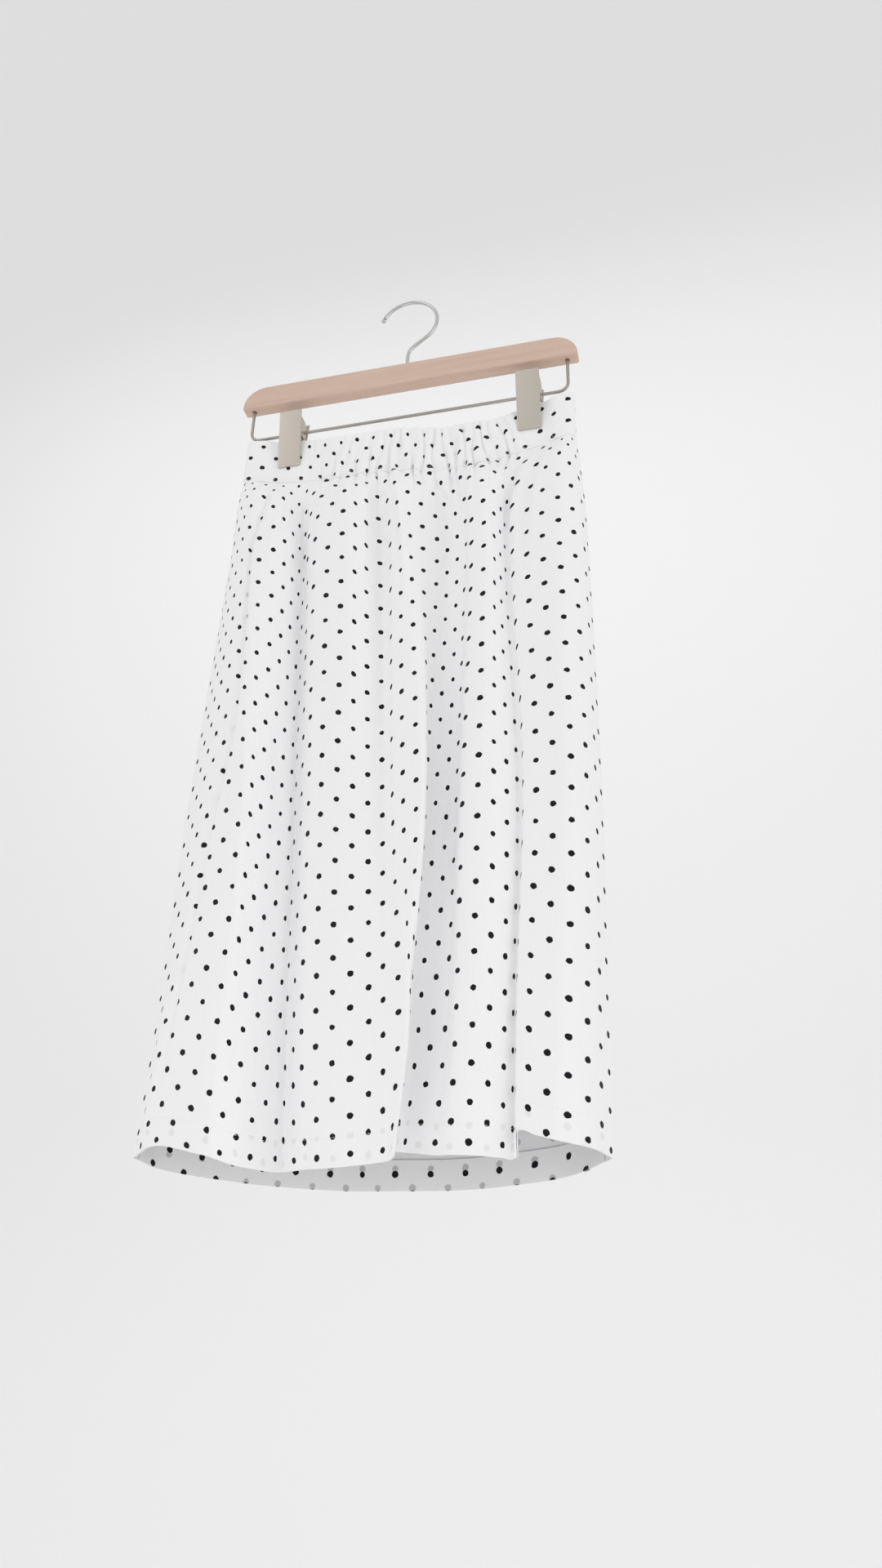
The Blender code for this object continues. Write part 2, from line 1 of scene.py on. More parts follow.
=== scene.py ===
"""Looks of a dotted, gathered midi skirt that hangs in the two clips of a wooden hanger.

The file is laid out as an add-on and run as a script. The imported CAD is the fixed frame:
the cloth, the hanger's wood and its metal are remade round it with their real finish.
Lengths in tables, and in the functions that read them, are in millimetres.
"""
import math

import bpy
import numpy as np
from bpy.props import FloatProperty, FloatVectorProperty, IntProperty, PointerProperty
from mathutils import Matrix, Vector


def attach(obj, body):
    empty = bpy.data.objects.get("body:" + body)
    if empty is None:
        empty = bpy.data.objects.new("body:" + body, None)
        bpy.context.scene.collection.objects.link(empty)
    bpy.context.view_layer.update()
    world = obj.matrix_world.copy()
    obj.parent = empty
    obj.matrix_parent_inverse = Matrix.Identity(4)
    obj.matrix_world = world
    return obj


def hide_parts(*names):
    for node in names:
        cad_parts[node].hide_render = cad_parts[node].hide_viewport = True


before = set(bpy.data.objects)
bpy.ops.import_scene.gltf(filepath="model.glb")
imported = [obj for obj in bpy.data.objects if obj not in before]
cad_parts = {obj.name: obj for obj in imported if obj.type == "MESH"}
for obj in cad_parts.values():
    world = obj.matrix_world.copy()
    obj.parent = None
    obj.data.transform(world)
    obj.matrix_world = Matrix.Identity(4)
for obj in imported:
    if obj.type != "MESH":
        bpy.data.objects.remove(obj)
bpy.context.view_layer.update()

bl_info = {
    "name": "Gathered midi skirt on a clip hanger",
    "version": (1, 0, 0),
    "blender": (4, 5, 0),
    "location": "3D View > Sidebar > Skirt",
    "description": "Builds the finish of a dotted cotton midi skirt and its wooden hanger",
    "category": "Add Mesh",
}

BODY = "root"
MM = 0.001

# Cloth, as the CAD has it
PANEL_LENGTH_MM = 650.0
BAND_HEIGHT_MM = 54.0
BAND_WALL_MM = 2.4
CLOTH_WALL_MM = 1.0
TURN_UP_MM = 22.0
CLAMPED_MM = 1.35
TURN_UP_WALL_MM = 0.6
TURN_UP_INSET_MM = 1.2
CLIP_CENTRES_MM = (-121.2, 129.9)

# Hanger, as the CAD has it, in metres
BAR_LENGTH = 0.360
BAR_HEIGHT = 0.028
BAR_THICKNESS = 0.0137
BAR_CORNER_RADIUS = 0.025
BAR_LOW = -0.120
HOOK_WIRE_RADIUS = 0.0019
HOOK_ARC_RADIUS = 0.031
HOOK_TIP_ANGLE = 154.0
HOOK_END_ANGLE = -50.0
HOOK_TIP_BALL_RADIUS = 0.0026
HOOK_STEM_TOP = -0.082
LOOP_WIRE_RADIUS = 0.0016
LOOP_LEG_X = 0.1688
LOOP_RUN_Z = -0.1603
LOOP_CORNER_RADIUS = 0.010
CLIPS = (dict(side="left", x=-0.1212, lean=7.5), dict(side="right", x=0.1299, lean=10.0))
CLIP_WIDTH = 0.024
CLIP_HEIGHT = 0.068
CLIP_SHEET = 0.0012
CLIP_BOTTOM_Z = -0.206
CLIP_JAW_Y = 0.00285
COIL_RADIUS = 0.0027
COIL_WIRE_RADIUS = 0.0006
SPRING_LENGTH = 0.013

# Radius and height of the collar's turned profile, from the stem's hole out and back to it
COLLAR_PROFILE = (
    (0.0022, 0.0), (0.0036, 0.0), (0.0038, 0.0004), (0.0038, 0.0017), (0.0034, 0.0026),
    (0.0028, 0.0030), (0.0022, 0.0030),
)

# Camera, in metres and degrees
CAMERA_PLACE = (0.275, -0.869, -1.020)
CAMERA_TURN = math.radians(-14.6)
CAMERA_PITCH = math.radians(25.9)
CAMERA_ROLL = math.radians(1.5)
CAMERA_LENS_MM = 26.72
SENSOR_MM = 36.0
FLOOR_Z = -1.8

WAIST_TOP = (
    dict(x=-171, z=-165), dict(x=-134, z=-170), dict(x=-108, z=-173), dict(x=-64, z=-181),
    dict(x=0, z=-185), dict(x=45, z=-193), dict(x=85, z=-190), dict(x=117, z=-179),
    dict(x=143, z=-173), dict(x=174, z=-167),
)

WAIST_DEPTH = (
    dict(x=-171, front=0.0, back=0.0), dict(x=-166, front=4.4, back=4.0),
    dict(x=-152, front=5.0, back=4.4), dict(x=-136, front=CLAMPED_MM, back=CLAMPED_MM),
    dict(x=-106, front=CLAMPED_MM, back=CLAMPED_MM), dict(x=-60, front=8.0, back=5.5),
    dict(x=0, front=9.5, back=7.0), dict(x=70, front=8.5, back=6.0),
    dict(x=115, front=CLAMPED_MM, back=CLAMPED_MM), dict(x=145, front=CLAMPED_MM, back=CLAMPED_MM),
    dict(x=158, front=5.0, back=4.4), dict(x=169, front=4.4, back=4.0),
    dict(x=174, front=0.0, back=0.0),
)

# Large folds: u is the place on the flat cloth, the pairs are where it hangs in x and y high up,
# half way, low down and at the hem, long is the cut from waist seam to hem, and slip is how far
# the print has slipped down at those four heights, where the cloth hangs askew or in small waves.
# The front's x and hem_z were worked out through the camera from picked points, at chosen depths,
# and then rounded. slip was set from measured offsets of the print.
FRONT_FOLDS = (
    dict(u=0, top=(-174, -2), mid=(-184, -6), low=(-187, -8), hem=(-190, -10), hem_z=-891, long=643,
         slip=(20, 12, 4, -3)),
    dict(u=47, top=(-163, -19), mid=(-148, -38), low=(-151, -44), hem=(-153, -46), hem_z=-888, long=643,
         slip=(22, 14, 5, -3)),
    dict(u=89, top=(-142, -32), mid=(-108, -60), low=(-103, -66), hem=(-101, -69), hem_z=-899, long=643,
         slip=(25, 14, 5, -3)),
    dict(u=116, top=(-115, -34), mid=(-94, -51), low=(-87, -58), hem=(-81, -63), hem_z=-905, long=644,
         slip=(29, 18, 5, -4)),
    dict(u=136, top=(-103, -25), mid=(-87, -36), low=(-77, -43), hem=(-70, -49), hem_z=-906, long=646,
         slip=(28, 18, 5, -4)),
    dict(u=158, top=(-96, -13), mid=(-78, -22), low=(-68, -29), hem=(-61, -33), hem_z=-906, long=648,
         slip=(26, 14, 3, -3)),
    dict(u=176, top=(-91, -9), mid=(-74, -17), low=(-63, -23), hem=(-55, -27), hem_z=-905, long=650,
         slip=(16, 11, 4, 0)),
    dict(u=199, top=(-76, -24), mid=(-58, -31), low=(-48, -34), hem=(-35, -38), hem_z=-905, long=650,
         slip=(8, 9, 6, 3)),
    dict(u=213, top=(-60, -30), mid=(-45, -36), low=(-33, -42), hem=(-23, -47), hem_z=-906, long=650,
         slip=(9, 7, 5, 1)),
    dict(u=233, top=(-38, -34), mid=(-22, -43), low=(-10, -53), hem=(-2, -56), hem_z=-906, long=650,
         slip=(12, 12, 7, 0)),
    dict(u=254, top=(-24, -27), mid=(-2, -42), low=(14, -58), hem=(20, -62), hem_z=-905, long=650,
         slip=(23, 17, 6, 0)),
    dict(u=272, top=(-9, -16), mid=(13, -39), low=(29, -62), hem=(35, -68), hem_z=-904, long=650,
         slip=(25, 14, 4, 1)),
    dict(u=288, top=(5, -29), mid=(24, -47), low=(46, -70), hem=(41, -74), hem_z=-902, long=650,
         slip=(20, 11, 4, 1)),
    dict(u=316, top=(24, -23), mid=(50, -58), low=(44, -60), hem=(39, -66), hem_z=-898, long=650,
         slip=(14, 8, 3, 2)),
    dict(u=336, top=(42, -13), mid=(46, -38), low=(40, -47), hem=(37, -54), hem_z=-896, long=650,
         slip=(9, 6, 3, 2)),
    dict(u=357, top=(56, -8), mid=(57, -30), low=(52, -41), hem=(45, -50), hem_z=-896, long=651,
         slip=(5, 4, 3, 2)),
    dict(u=378, top=(70, -15), mid=(71, -34), low=(70, -48), hem=(66, -57), hem_z=-899, long=651,
         slip=(6, 3, 2, 1)),
    dict(u=391, top=(80, -30), mid=(80, -51), low=(80, -60), hem=(78, -65), hem_z=-900, long=651,
         slip=(6, 2, 2, 1)),
    dict(u=411, top=(97, -34), mid=(100, -57), low=(99, -64), hem=(98, -67), hem_z=-901, long=651,
         slip=(2, 3, 3, 1)),
    dict(u=433, top=(104, -22), mid=(116, -51), low=(116, -59), hem=(115, -62), hem_z=-902, long=651,
         slip=(13, 11, 6, 1)),
    dict(u=452, top=(109, -15), mid=(126, -43), low=(123, -53), hem=(123, -57), hem_z=-901, long=650,
         slip=(17, 12, 6, 3)),
    dict(u=464, top=(118, -20), mid=(130, -48), low=(126, -60), hem=(125, -65), hem_z=-885, long=646,
         slip=(15, 10, 4, 2)),
    dict(u=481, top=(137, -24), mid=(147, -53), low=(142, -66), hem=(140, -70), hem_z=-889, long=646,
         slip=(12, 8, 5, 2)),
    dict(u=501, top=(159, -29), mid=(168, -57), low=(163, -68), hem=(160, -72), hem_z=-894, long=646,
         slip=(12, 8, 6, 0)),
    dict(u=522, top=(177, -22), mid=(182, -43), low=(179, -51), hem=(177, -55), hem_z=-896, long=646,
         slip=(12, 8, 5, 0)),
    dict(u=547, top=(182, -4), mid=(187, -12), low=(186, -15), hem=(185, -18), hem_z=-897, long=646,
         slip=(12, 8, 5, 0)),
)

BACK_FOLDS = (
    dict(u=0, top=(-174, -2), mid=(-184, -6), low=(-187, -8), hem=(-190, -10), hem_z=-891, long=644),
    dict(u=30, top=(-160, 11), mid=(-170, 14), low=(-174, 14), hem=(-176, 14), hem_z=-897, long=646),
    dict(u=75, top=(-124, 9), mid=(-131, 21), low=(-133, 24), hem=(-134, 26), hem_z=-903, long=648),
    dict(u=125, top=(-81, 15), mid=(-84, 17), low=(-85, 20), hem=(-85, 22), hem_z=-909, long=650),
    dict(u=180, top=(-32, 10), mid=(-31, 23), low=(-31, 27), hem=(-31, 29), hem_z=-912, long=650),
    dict(u=225, top=(14, 16), mid=(14, 18), low=(13, 22), hem=(13, 24), hem_z=-913, long=650),
    dict(u=278, top=(63, 10), mid=(65, 23), low=(65, 27), hem=(65, 29), hem_z=-912, long=650),
    dict(u=325, top=(110, 14), mid=(112, 18), low=(112, 21), hem=(111, 23), hem_z=-909, long=650),
    dict(u=368, top=(160, 12), mid=(158, 16), low=(155, 18), hem=(152, 19), hem_z=-903, long=648),
    dict(u=400, top=(182, -4), mid=(187, -12), low=(186, -15), hem=(185, -18), hem_z=-897, long=646),
)

# Parts of a panel's length at which the fold tables are read. The second lies between the
# straight seam and the first of the table's places.
STATIONS = (0.0, 0.05, 0.15, 0.57, 0.85, 1.0)
UNDER_SEAM_SHARE = (0.45, 0.70)

# How the elastic draws the panels up: place on the flat cloth against place along the waist.
FRONT_DRAW = (
    dict(u=0, x=-171), dict(u=62, x=-166), dict(u=116, x=-134), dict(u=176, x=-97),
    dict(u=226, x=-52), dict(u=282, x=-15), dict(u=336, x=31), dict(u=392, x=72),
    dict(u=446, x=122), dict(u=502, x=163), dict(u=547, x=174),
)
BACK_DRAW = (
    dict(u=0, x=-171), dict(u=60, x=-122), dict(u=200, x=0), dict(u=340, x=124), dict(u=400, x=174),
)

# Ruches of the elastic casing: where each ridge lies at its top edge and at the seam.
FRONT_RUCHES = (
    dict(top=-104, seam=-106, height=0.0), dict(top=-90, seam=-93, height=0.8),
    dict(top=-73, seam=-79, height=1.3), dict(top=-57, seam=-66, height=1.9),
    dict(top=-45, seam=-52, height=2.6), dict(top=-34, seam=-41, height=2.2),
    dict(top=-24, seam=-29, height=2.7), dict(top=-13, seam=-16, height=2.4),
    dict(top=-4, seam=-5, height=2.9), dict(top=5, seam=8, height=2.3),
    dict(top=18, seam=19, height=2.7), dict(top=28, seam=31, height=2.2),
    dict(top=38, seam=44, height=2.9), dict(top=47, seam=54, height=2.1),
    dict(top=59, seam=63, height=2.7), dict(top=68, seam=73, height=2.3),
    dict(top=76, seam=83, height=2.9), dict(top=84, seam=93, height=2.2),
    dict(top=92, seam=105, height=2.7), dict(top=101, seam=115, height=1.9),
    dict(top=110, seam=123, height=1.2), dict(top=118, seam=133, height=0.0),
)
BACK_RUCHES = (
    dict(top=-104, seam=-106, height=0.0), dict(top=-90, seam=-92, height=0.9),
    dict(top=-76, seam=-79, height=1.6), dict(top=-63, seam=-64, height=1.3),
    dict(top=-49, seam=-52, height=1.9), dict(top=-36, seam=-37, height=1.4),
    dict(top=-22, seam=-23, height=2.0), dict(top=-9, seam=-8, height=1.5),
    dict(top=5, seam=4, height=1.8), dict(top=17, seam=19, height=1.4),
    dict(top=31, seam=31, height=2.0), dict(top=43, seam=46, height=1.5),
    dict(top=57, seam=58, height=1.8), dict(top=69, seam=73, height=1.3),
    dict(top=83, seam=85, height=1.7), dict(top=95, seam=99, height=1.1),
    dict(top=107, seam=111, height=0.7), dict(top=118, seam=122, height=0.0),
)

# Creases and small folds of the panels: path on the flat cloth as (u, down), rise out of the
# cloth, half width, and whether the profile is a ridge or the raised edge of a step.
FRONT_CREASES = (
    dict(path=((116, 6), (103, 60), (92, 97), (88, 150), (84, 210), (73, 300), (62, 350), (52, 400),
               (48, 492), (42, 557), (41, 629)), rise=-4.2, width=3.2, kind="ridge", start=0.05, end=0.2),
    dict(path=((132, 4), (128, 40), (118, 84), (106, 128)), rise=2.2, width=5.0, kind="ridge"),
    dict(path=((176, 4), (178, 60), (182, 150)), rise=1.4, width=7.0, kind="step"),
    dict(path=((192, 2), (204, 30), (222, 66)), rise=-1.6, width=5.0, kind="ridge"),
    dict(path=((262, 2), (256, 60), (252, 190)), rise=-1.4, width=7.0, kind="step", end=0.6),
    dict(path=((291, 2), (294, 70), (300, 190)), rise=2.0, width=6.0, kind="step", end=0.5),
    dict(path=((338, 3), (352, 24), (366, 44)), rise=-2.0, width=4.5, kind="ridge"),
    dict(path=((360, 4), (372, 28), (386, 60)), rise=-1.8, width=4.5, kind="ridge"),
    dict(path=((388, 6), (384, 70), (380, 170)), rise=1.6, width=6.0, kind="step", end=0.5),
    dict(path=((400, 2), (404, 26), (415, 52), (417, 150)), rise=-1.8, width=4.5, kind="ridge", end=0.5),
    dict(path=((430, 3), (438, 40), (446, 92)), rise=-1.6, width=5.0, kind="ridge"),
    dict(path=((454, 4), (456, 60), (458, 120)), rise=2.2, width=5.0, kind="step"),
    dict(path=((480, 5), (478, 60), (474, 190)), rise=2.0, width=5.0, kind="step", end=0.5),
    dict(path=((60, 430), (74, 520), (92, 640)), rise=1.3, width=11.0, kind="ridge", start=0.3, end=0.2),
    dict(path=((24, 520), (30, 580), (28, 648)), rise=2.4, width=10.0, kind="ridge", start=0.3, end=0.1),
    dict(path=((322, 60), (330, 240), (336, 420)), rise=-1.2, width=8.0, kind="ridge", start=0.3),
    dict(path=((226, 40), (230, 200), (236, 420)), rise=-0.9, width=9.0, kind="ridge", start=0.3),
)
BACK_CREASES = (
    dict(path=((40, 4), (52, 60), (58, 150)), rise=2.0, width=6.0, kind="ridge"),
    dict(path=((98, 3), (92, 50), (90, 130)), rise=-1.8, width=5.5, kind="ridge"),
    dict(path=((150, 4), (156, 70), (154, 190)), rise=1.8, width=7.0, kind="step", end=0.5),
    dict(path=((206, 3), (200, 40), (190, 90)), rise=-1.7, width=5.0, kind="ridge"),
    dict(path=((252, 5), (256, 80), (262, 210)), rise=1.6, width=7.0, kind="step", end=0.5),
    dict(path=((300, 3), (294, 50), (282, 110)), rise=-1.6, width=5.0, kind="ridge"),
    dict(path=((352, 4), (346, 70), (344, 170)), rise=2.0, width=6.0, kind="ridge"),
)

# Where the print starts on each piece, as cut
PRINT_START = {
    "front": (61.5, 655.25), "back": (48.0, 648.0),
    "front band": (20.0, 5.0), "back band": (0.0, 9.0),
}


def column(rows, key):
    """One column of a table as an array."""
    return np.array([row[key] for row in rows], float)


def slopes_through(knots, values):
    """Slope of a smooth curve at each of its knots."""
    slopes = np.empty_like(values)
    spans = (knots[2:] - knots[:-2]).reshape((-1,) + (1,) * (values.ndim - 1))
    slopes[1:-1] = (values[2:] - values[:-2]) / spans
    slopes[0] = (values[1] - values[0]) / (knots[1] - knots[0])
    slopes[-1] = (values[-1] - values[-2]) / (knots[-1] - knots[-2])
    return slopes


def level_slopes(knots, values):
    """Slopes that never carry the curve past its own knots."""
    steps = np.diff(values) / np.diff(knots)
    product = steps[:-1] * steps[1:]
    total = np.where(product > 0, steps[:-1] + steps[1:], 1.0)
    inner = np.where(product > 0, 2.0 * product / total, 0.0)
    return np.concatenate([steps[:1], inner, steps[-1:]])


def on_curve(knots, values, at, slope_rule=slopes_through):
    """The cubic curve through the values at the knots, read at the places `at`."""
    knots = np.asarray(knots, float)
    values = np.asarray(values, float)
    slopes = slope_rule(knots, values)
    at = np.clip(np.asarray(at, float), knots[0], knots[-1])
    i = np.clip(np.searchsorted(knots, at, side="right") - 1, 0, len(knots) - 2)
    span = knots[i + 1] - knots[i]
    t = (at - knots[i]) / span
    shape = (-1,) + (1,) * (values.ndim - 1)
    t, span = t.reshape(shape), span.reshape(shape)
    rest = 1.0 - t
    ends = values[i] * (1 + 2 * t) * rest * rest + values[i + 1] * t * t * (3 - 2 * t)
    return ends + (slopes[i] * t * rest * rest - slopes[i + 1] * t * t * rest) * span


def ease(x):
    """0 below 0, 1 above 1, smooth between."""
    x = np.clip(x, 0.0, 1.0)
    return x * x * (3.0 - 2.0 * x)


def waist_top_z(x):
    return on_curve(column(WAIST_TOP, "x"), column(WAIST_TOP, "z"), x, level_slopes)


def waist_depth(side, x):
    return on_curve(column(WAIST_DEPTH, "x"), column(WAIST_DEPTH, side), x, level_slopes)


def clear_of_clips(x):
    """0 under the clips' plates, 1 away from them."""
    nearest = np.min([np.abs(x - centre) for centre in CLIP_CENTRES_MM], axis=0)
    return ease((nearest - 13.0) / 12.0)


class Drape:
    """One side of the skirt: the hanging panel and the half of the waistband above it, in mm."""

    def __init__(self, side):
        front = side == "front"
        self.side = side
        self.outward = -1.0 if front else 1.0
        self.folds = FRONT_FOLDS if front else BACK_FOLDS
        self.draw = FRONT_DRAW if front else BACK_DRAW
        self.ruches = FRONT_RUCHES if front else BACK_RUCHES
        self.creases = FRONT_CREASES if front else BACK_CREASES
        self.us = column(self.folds, "u")
        self.cut = self.us[-1]
        heights = ("top", "mid", "low", "hem")
        self.places = np.array([[row[height] for row in self.folds] for height in heights], float)

    def seam_x(self, u):
        return on_curve(column(self.draw, "u"), column(self.draw, "x"), u, level_slopes)

    def at_seam(self, u):
        x = self.seam_x(u)
        return np.stack([x, self.outward * waist_depth(self.side, x)], axis=-1)

    def ruched(self, x, t):
        """How far the elastic's ruches stand out at x, a part t of the way down the casing."""
        ridges = column(self.ruches, "top") * (1 - t) + column(self.ruches, "seam") * t
        turns = np.interp(x, ridges, np.arange(len(ridges)))
        turns = turns + 0.16 * np.sin(x / 7.0 + 4.0 * t) + 0.10 * np.sin(x / 3.1 - 5.0 * t)
        height = np.interp(x, ridges, column(self.ruches, "height"))
        uneven = 1.0 + 0.30 * np.sin(2.3 * turns + 3.5 * t) + 0.18 * np.sin(5.1 * turns)
        sharp = np.sqrt(np.cos(np.pi * turns) ** 2 + 0.012)
        at_top = 0.25 + 0.45 * ease((x + 60.0) / 110.0)
        return height * uneven * (2.0 * sharp - 1.0) * (at_top + (1.0 - at_top) * t)

    def creased(self, u, down):
        """How far the creases stand out at places on the flat cloth."""
        total = np.zeros_like(u)
        for row in self.creases:
            path = np.array(row["path"], float)
            along = (down - path[0, 1]) / (path[-1, 1] - path[0, 1])
            if not 0.0 < along < 1.0:
                continue
            away = (u - np.interp(down, path[:, 1], path[:, 0])) / row["width"]
            profile = np.exp(-away * away)
            if row["kind"] == "step":
                profile = np.tanh(3.0 * away) * np.exp(-0.25 * away * away)
            fade = ease(along / row.get("start", 0.15)) * ease((1.0 - along) / row.get("end", 0.4))
            total = total + row["rise"] * profile * fade
        return total

    def evenly(self, line, dense, wanted):
        """Points of a level line, spread by its own length between one fold and the next."""
        run = np.concatenate([[0.0], np.cumsum(np.hypot(*np.diff(line, axis=0).T))])
        at_folds = np.interp(self.us, dense, run)
        target = np.interp(wanted, self.us, at_folds)
        return np.stack([np.interp(target, run, line[:, axis]) for axis in (0, 1)], axis=-1)

    def outwards(self, line):
        """Level direction out of the cloth along a line."""
        run = np.gradient(line, axis=0)
        run /= np.linalg.norm(run, axis=1, keepdims=True)
        return self.outward * np.stack([-run[:, 1], run[:, 0]], axis=-1)

    def slipped(self, u, heights):
        """How far the print has slipped down at places on the panel."""
        table = np.array([row.get("slip", (0, 0, 0, 0)) for row in self.folds], float).T
        table = np.concatenate([table[:1], table[:1], table])
        rows = on_curve(STATIONS, table, heights, slopes_through)
        return np.array([on_curve(self.us, row, u) for row in rows])

    def panel(self, columns, heights):
        """Middle surface of the hanging panel, rows from waist seam to hem, in mm."""
        dense = np.unique(np.concatenate([np.linspace(a, b, 30) for a, b in zip(self.us, self.us[1:])]))
        wanted = np.linspace(0.0, self.cut, columns)
        seam = self.at_seam(self.us)
        under = seam + (self.places[0] - seam) * UNDER_SEAM_SHARE
        lines = on_curve(STATIONS, np.concatenate([[seam, under], self.places]), heights)
        seam_z = waist_top_z(self.seam_x(wanted)) - BAND_HEIGHT_MM
        hem_z = on_curve(self.us, column(self.folds, "hem_z"), wanted)
        long = on_curve(self.us, column(self.folds, "long"), wanted)
        surface = np.empty((len(heights), columns, 3))
        seam_ruches = self.ruched(self.seam_x(dense), 1.0)
        for j, t in enumerate(heights):
            down = PANEL_LENGTH_MM * t
            line = on_curve(self.us, lines[j], dense)
            clear = ease(down / 40.0) if down < 40.0 else 1.0
            clear = clear + (1.0 - clear) * clear_of_clips(self.seam_x(dense))
            line = line + self.outwards(line) * (self.creased(dense, down) * clear)[:, None]
            line[:, 1] += self.outward * seam_ruches * math.exp(-(max(down, 0.0) / 26.0) ** 1.3)
            surface[j, :, :2] = self.evenly(line, dense, wanted)
            surface[j, :, 2] = seam_z + (hem_z - seam_z) * t
        start = PRINT_START[self.side]
        down = np.asarray(heights)[:, None] * long
        slip = self.slipped(wanted, heights)
        flat = np.stack([np.broadcast_to(wanted, down.shape) - start[0], down - slip - start[1]], axis=-1)
        return surface, flat, np.broadcast_to(long, down.shape) - down

    def band(self, columns, heights):
        """Middle surface of the waistband half, rows from its top edge to the waist seam, in mm."""
        x = np.linspace(self.draw[0]["x"], self.draw[-1]["x"], 3000)
        surface = np.empty((len(heights), columns, 3))
        for j, t in enumerate(heights):
            line = np.stack([x, self.outward * (waist_depth(self.side, x) + self.ruched(x, t))], axis=-1)
            run = np.concatenate([[0.0], np.cumsum(np.hypot(*np.diff(line, axis=0).T))])
            target = np.linspace(0.0, run[-1], columns)
            surface[j, :, 0] = np.interp(target, run, line[:, 0])
            surface[j, :, 1] = np.interp(target, run, line[:, 1])
            surface[j, :, 2] = waist_top_z(surface[j, :, 0]) - BAND_HEIGHT_MM * t
        between = ease((surface[0, :, 0] - CLIP_CENTRES_MM[0]) / 30.0)
        between = between * ease((CLIP_CENTRES_MM[1] - surface[0, :, 0]) / 30.0)
        drawn = np.cumsum((1.0 + 0.45 * between) * np.gradient(surface[0, :, 0]))
        start = PRINT_START[self.side + " band"]
        flat = np.meshgrid(drawn * 1.05 + start[0], np.asarray(heights) * BAND_HEIGHT_MM + start[1])
        return surface, np.stack(flat, axis=-1)


def surface_normals(surface, outward):
    """Unit normals of a grid surface, on the cloth's right side."""
    across = np.gradient(surface, axis=1)
    down = np.gradient(surface, axis=0)
    normal = np.cross(down, across) * (1.0 if outward < 0 else -1.0)
    return normal / np.linalg.norm(normal, axis=2, keepdims=True)


def new_object(name, points, faces, materials, sharp=60.0):
    """Smooth-shaded mesh object from points in metres, linked to the scene."""
    mesh = bpy.data.meshes.new(name)
    mesh.from_pydata([tuple(point) for point in points], [], [tuple(face) for face in faces])
    for material in materials:
        mesh.materials.append(material)
    mesh.shade_smooth()
    mesh.set_sharp_from_angle(angle=math.radians(sharp))
    thing = bpy.data.objects.new(name, mesh)
    bpy.context.scene.collection.objects.link(thing)
    return thing


def cloth_shell(name, surface, flat, from_hem, outward, wall, materials, inset=0.0):
    """Closed thin shell about a grid surface in mm, with its places on the cut cloth.

    The UV map "Cloth" and the attribute "from_hem" hold those places in metres.
    """
    rows, columns = surface.shape[:2]
    normals = surface_normals(surface, outward)
    outer = surface + normals * (wall / 2 - inset)
    inner = surface - normals * (wall / 2 + inset)
    points = np.concatenate([outer.reshape(-1, 3), inner.reshape(-1, 3)]) * MM
    index = np.arange(rows * columns).reshape(rows, columns)
    quads = np.stack([index[:-1, :-1], index[1:, :-1], index[1:, 1:], index[:-1, 1:]], axis=-1)
    quads = quads.reshape(-1, 4)
    back = index + rows * columns
    edges = [(index[0, ::-1], back[0, ::-1]), (index[-1], back[-1]), (index[:, 0], back[:, 0]),
             (index[::-1, -1], back[::-1, -1])]
    rims = [np.stack([a[:-1], b[:-1], b[1:], a[1:]], axis=-1) for a, b in edges]
    faces = np.concatenate([quads, quads[:, ::-1] + rows * columns, *rims])
    if outward > 0:
        faces = faces[:, ::-1]
    thing = new_object(name, points.tolist(), faces.tolist(), materials)
    mesh = thing.data
    loops = np.empty(len(mesh.loops), np.int32)
    mesh.loops.foreach_get("vertex_index", loops)
    places = np.concatenate([flat.reshape(-1, 2)] * 2) * MM
    mesh.uv_layers.new(name="Cloth").data.foreach_set("uv", places[loops].astype(np.float32).ravel())
    heights = np.concatenate([from_hem.ravel()] * 2) * MM
    mesh.attributes.new("from_hem", "FLOAT", "POINT").data.foreach_set("value", heights.astype(np.float32))
    kinds = np.zeros(len(faces), np.int32)
    kinds[len(quads):2 * len(quads)] = len(materials) - 1
    mesh.polygons.foreach_set("material_index", kinds)
    mesh.update()
    return thing


def tube(points, radius, sides=16):
    """Closed round tube along a path: its points and faces, in the path's own unit."""
    points = np.asarray(points, float)
    along = np.gradient(points, axis=0)
    along /= np.linalg.norm(along, axis=1, keepdims=True)
    side = np.cross(along[0], (0.0, 1.0, 0.0) if abs(along[0, 1]) < 0.9 else (1.0, 0.0, 0.0))
    around = np.linspace(0.0, 2 * math.pi, sides, endpoint=False)[:, None]
    rings = []
    for point, ahead in zip(points, along):
        side = side - ahead * side.dot(ahead)
        side /= np.linalg.norm(side)
        rings.append(point + radius * (np.cos(around) * side + np.sin(around) * np.cross(ahead, side)))
    return np.concatenate(rings), ring_faces(len(points), sides)


def ring_faces(rings, sides):
    """Faces between closed rings of points, capped at both ends."""
    faces = [list(range(sides))[::-1], [(rings - 1) * sides + i for i in range(sides)]]
    for ring in range(rings - 1):
        for i in range(sides):
            j = (i + 1) % sides
            low, high = ring * sides, (ring + 1) * sides
            faces.append([low + i, low + j, high + j, high + i])
    return faces


def rounded_outline(corners, radii, steps=8):
    """Anticlockwise outline through rounded right-angled corners."""
    corners = np.asarray(corners, float)
    outline = []
    for i, (corner, radius) in enumerate(zip(corners, radii)):
        before = corners[i - 1] - corner
        after = corners[(i + 1) % len(corners)] - corner
        before /= np.linalg.norm(before)
        after /= np.linalg.norm(after)
        centre = corner + radius * (before + after)
        for angle in np.linspace(0.0, math.pi / 2, steps):
            outline.append(centre - radius * (after * math.cos(angle) + before * math.sin(angle)))
    return np.array(outline)


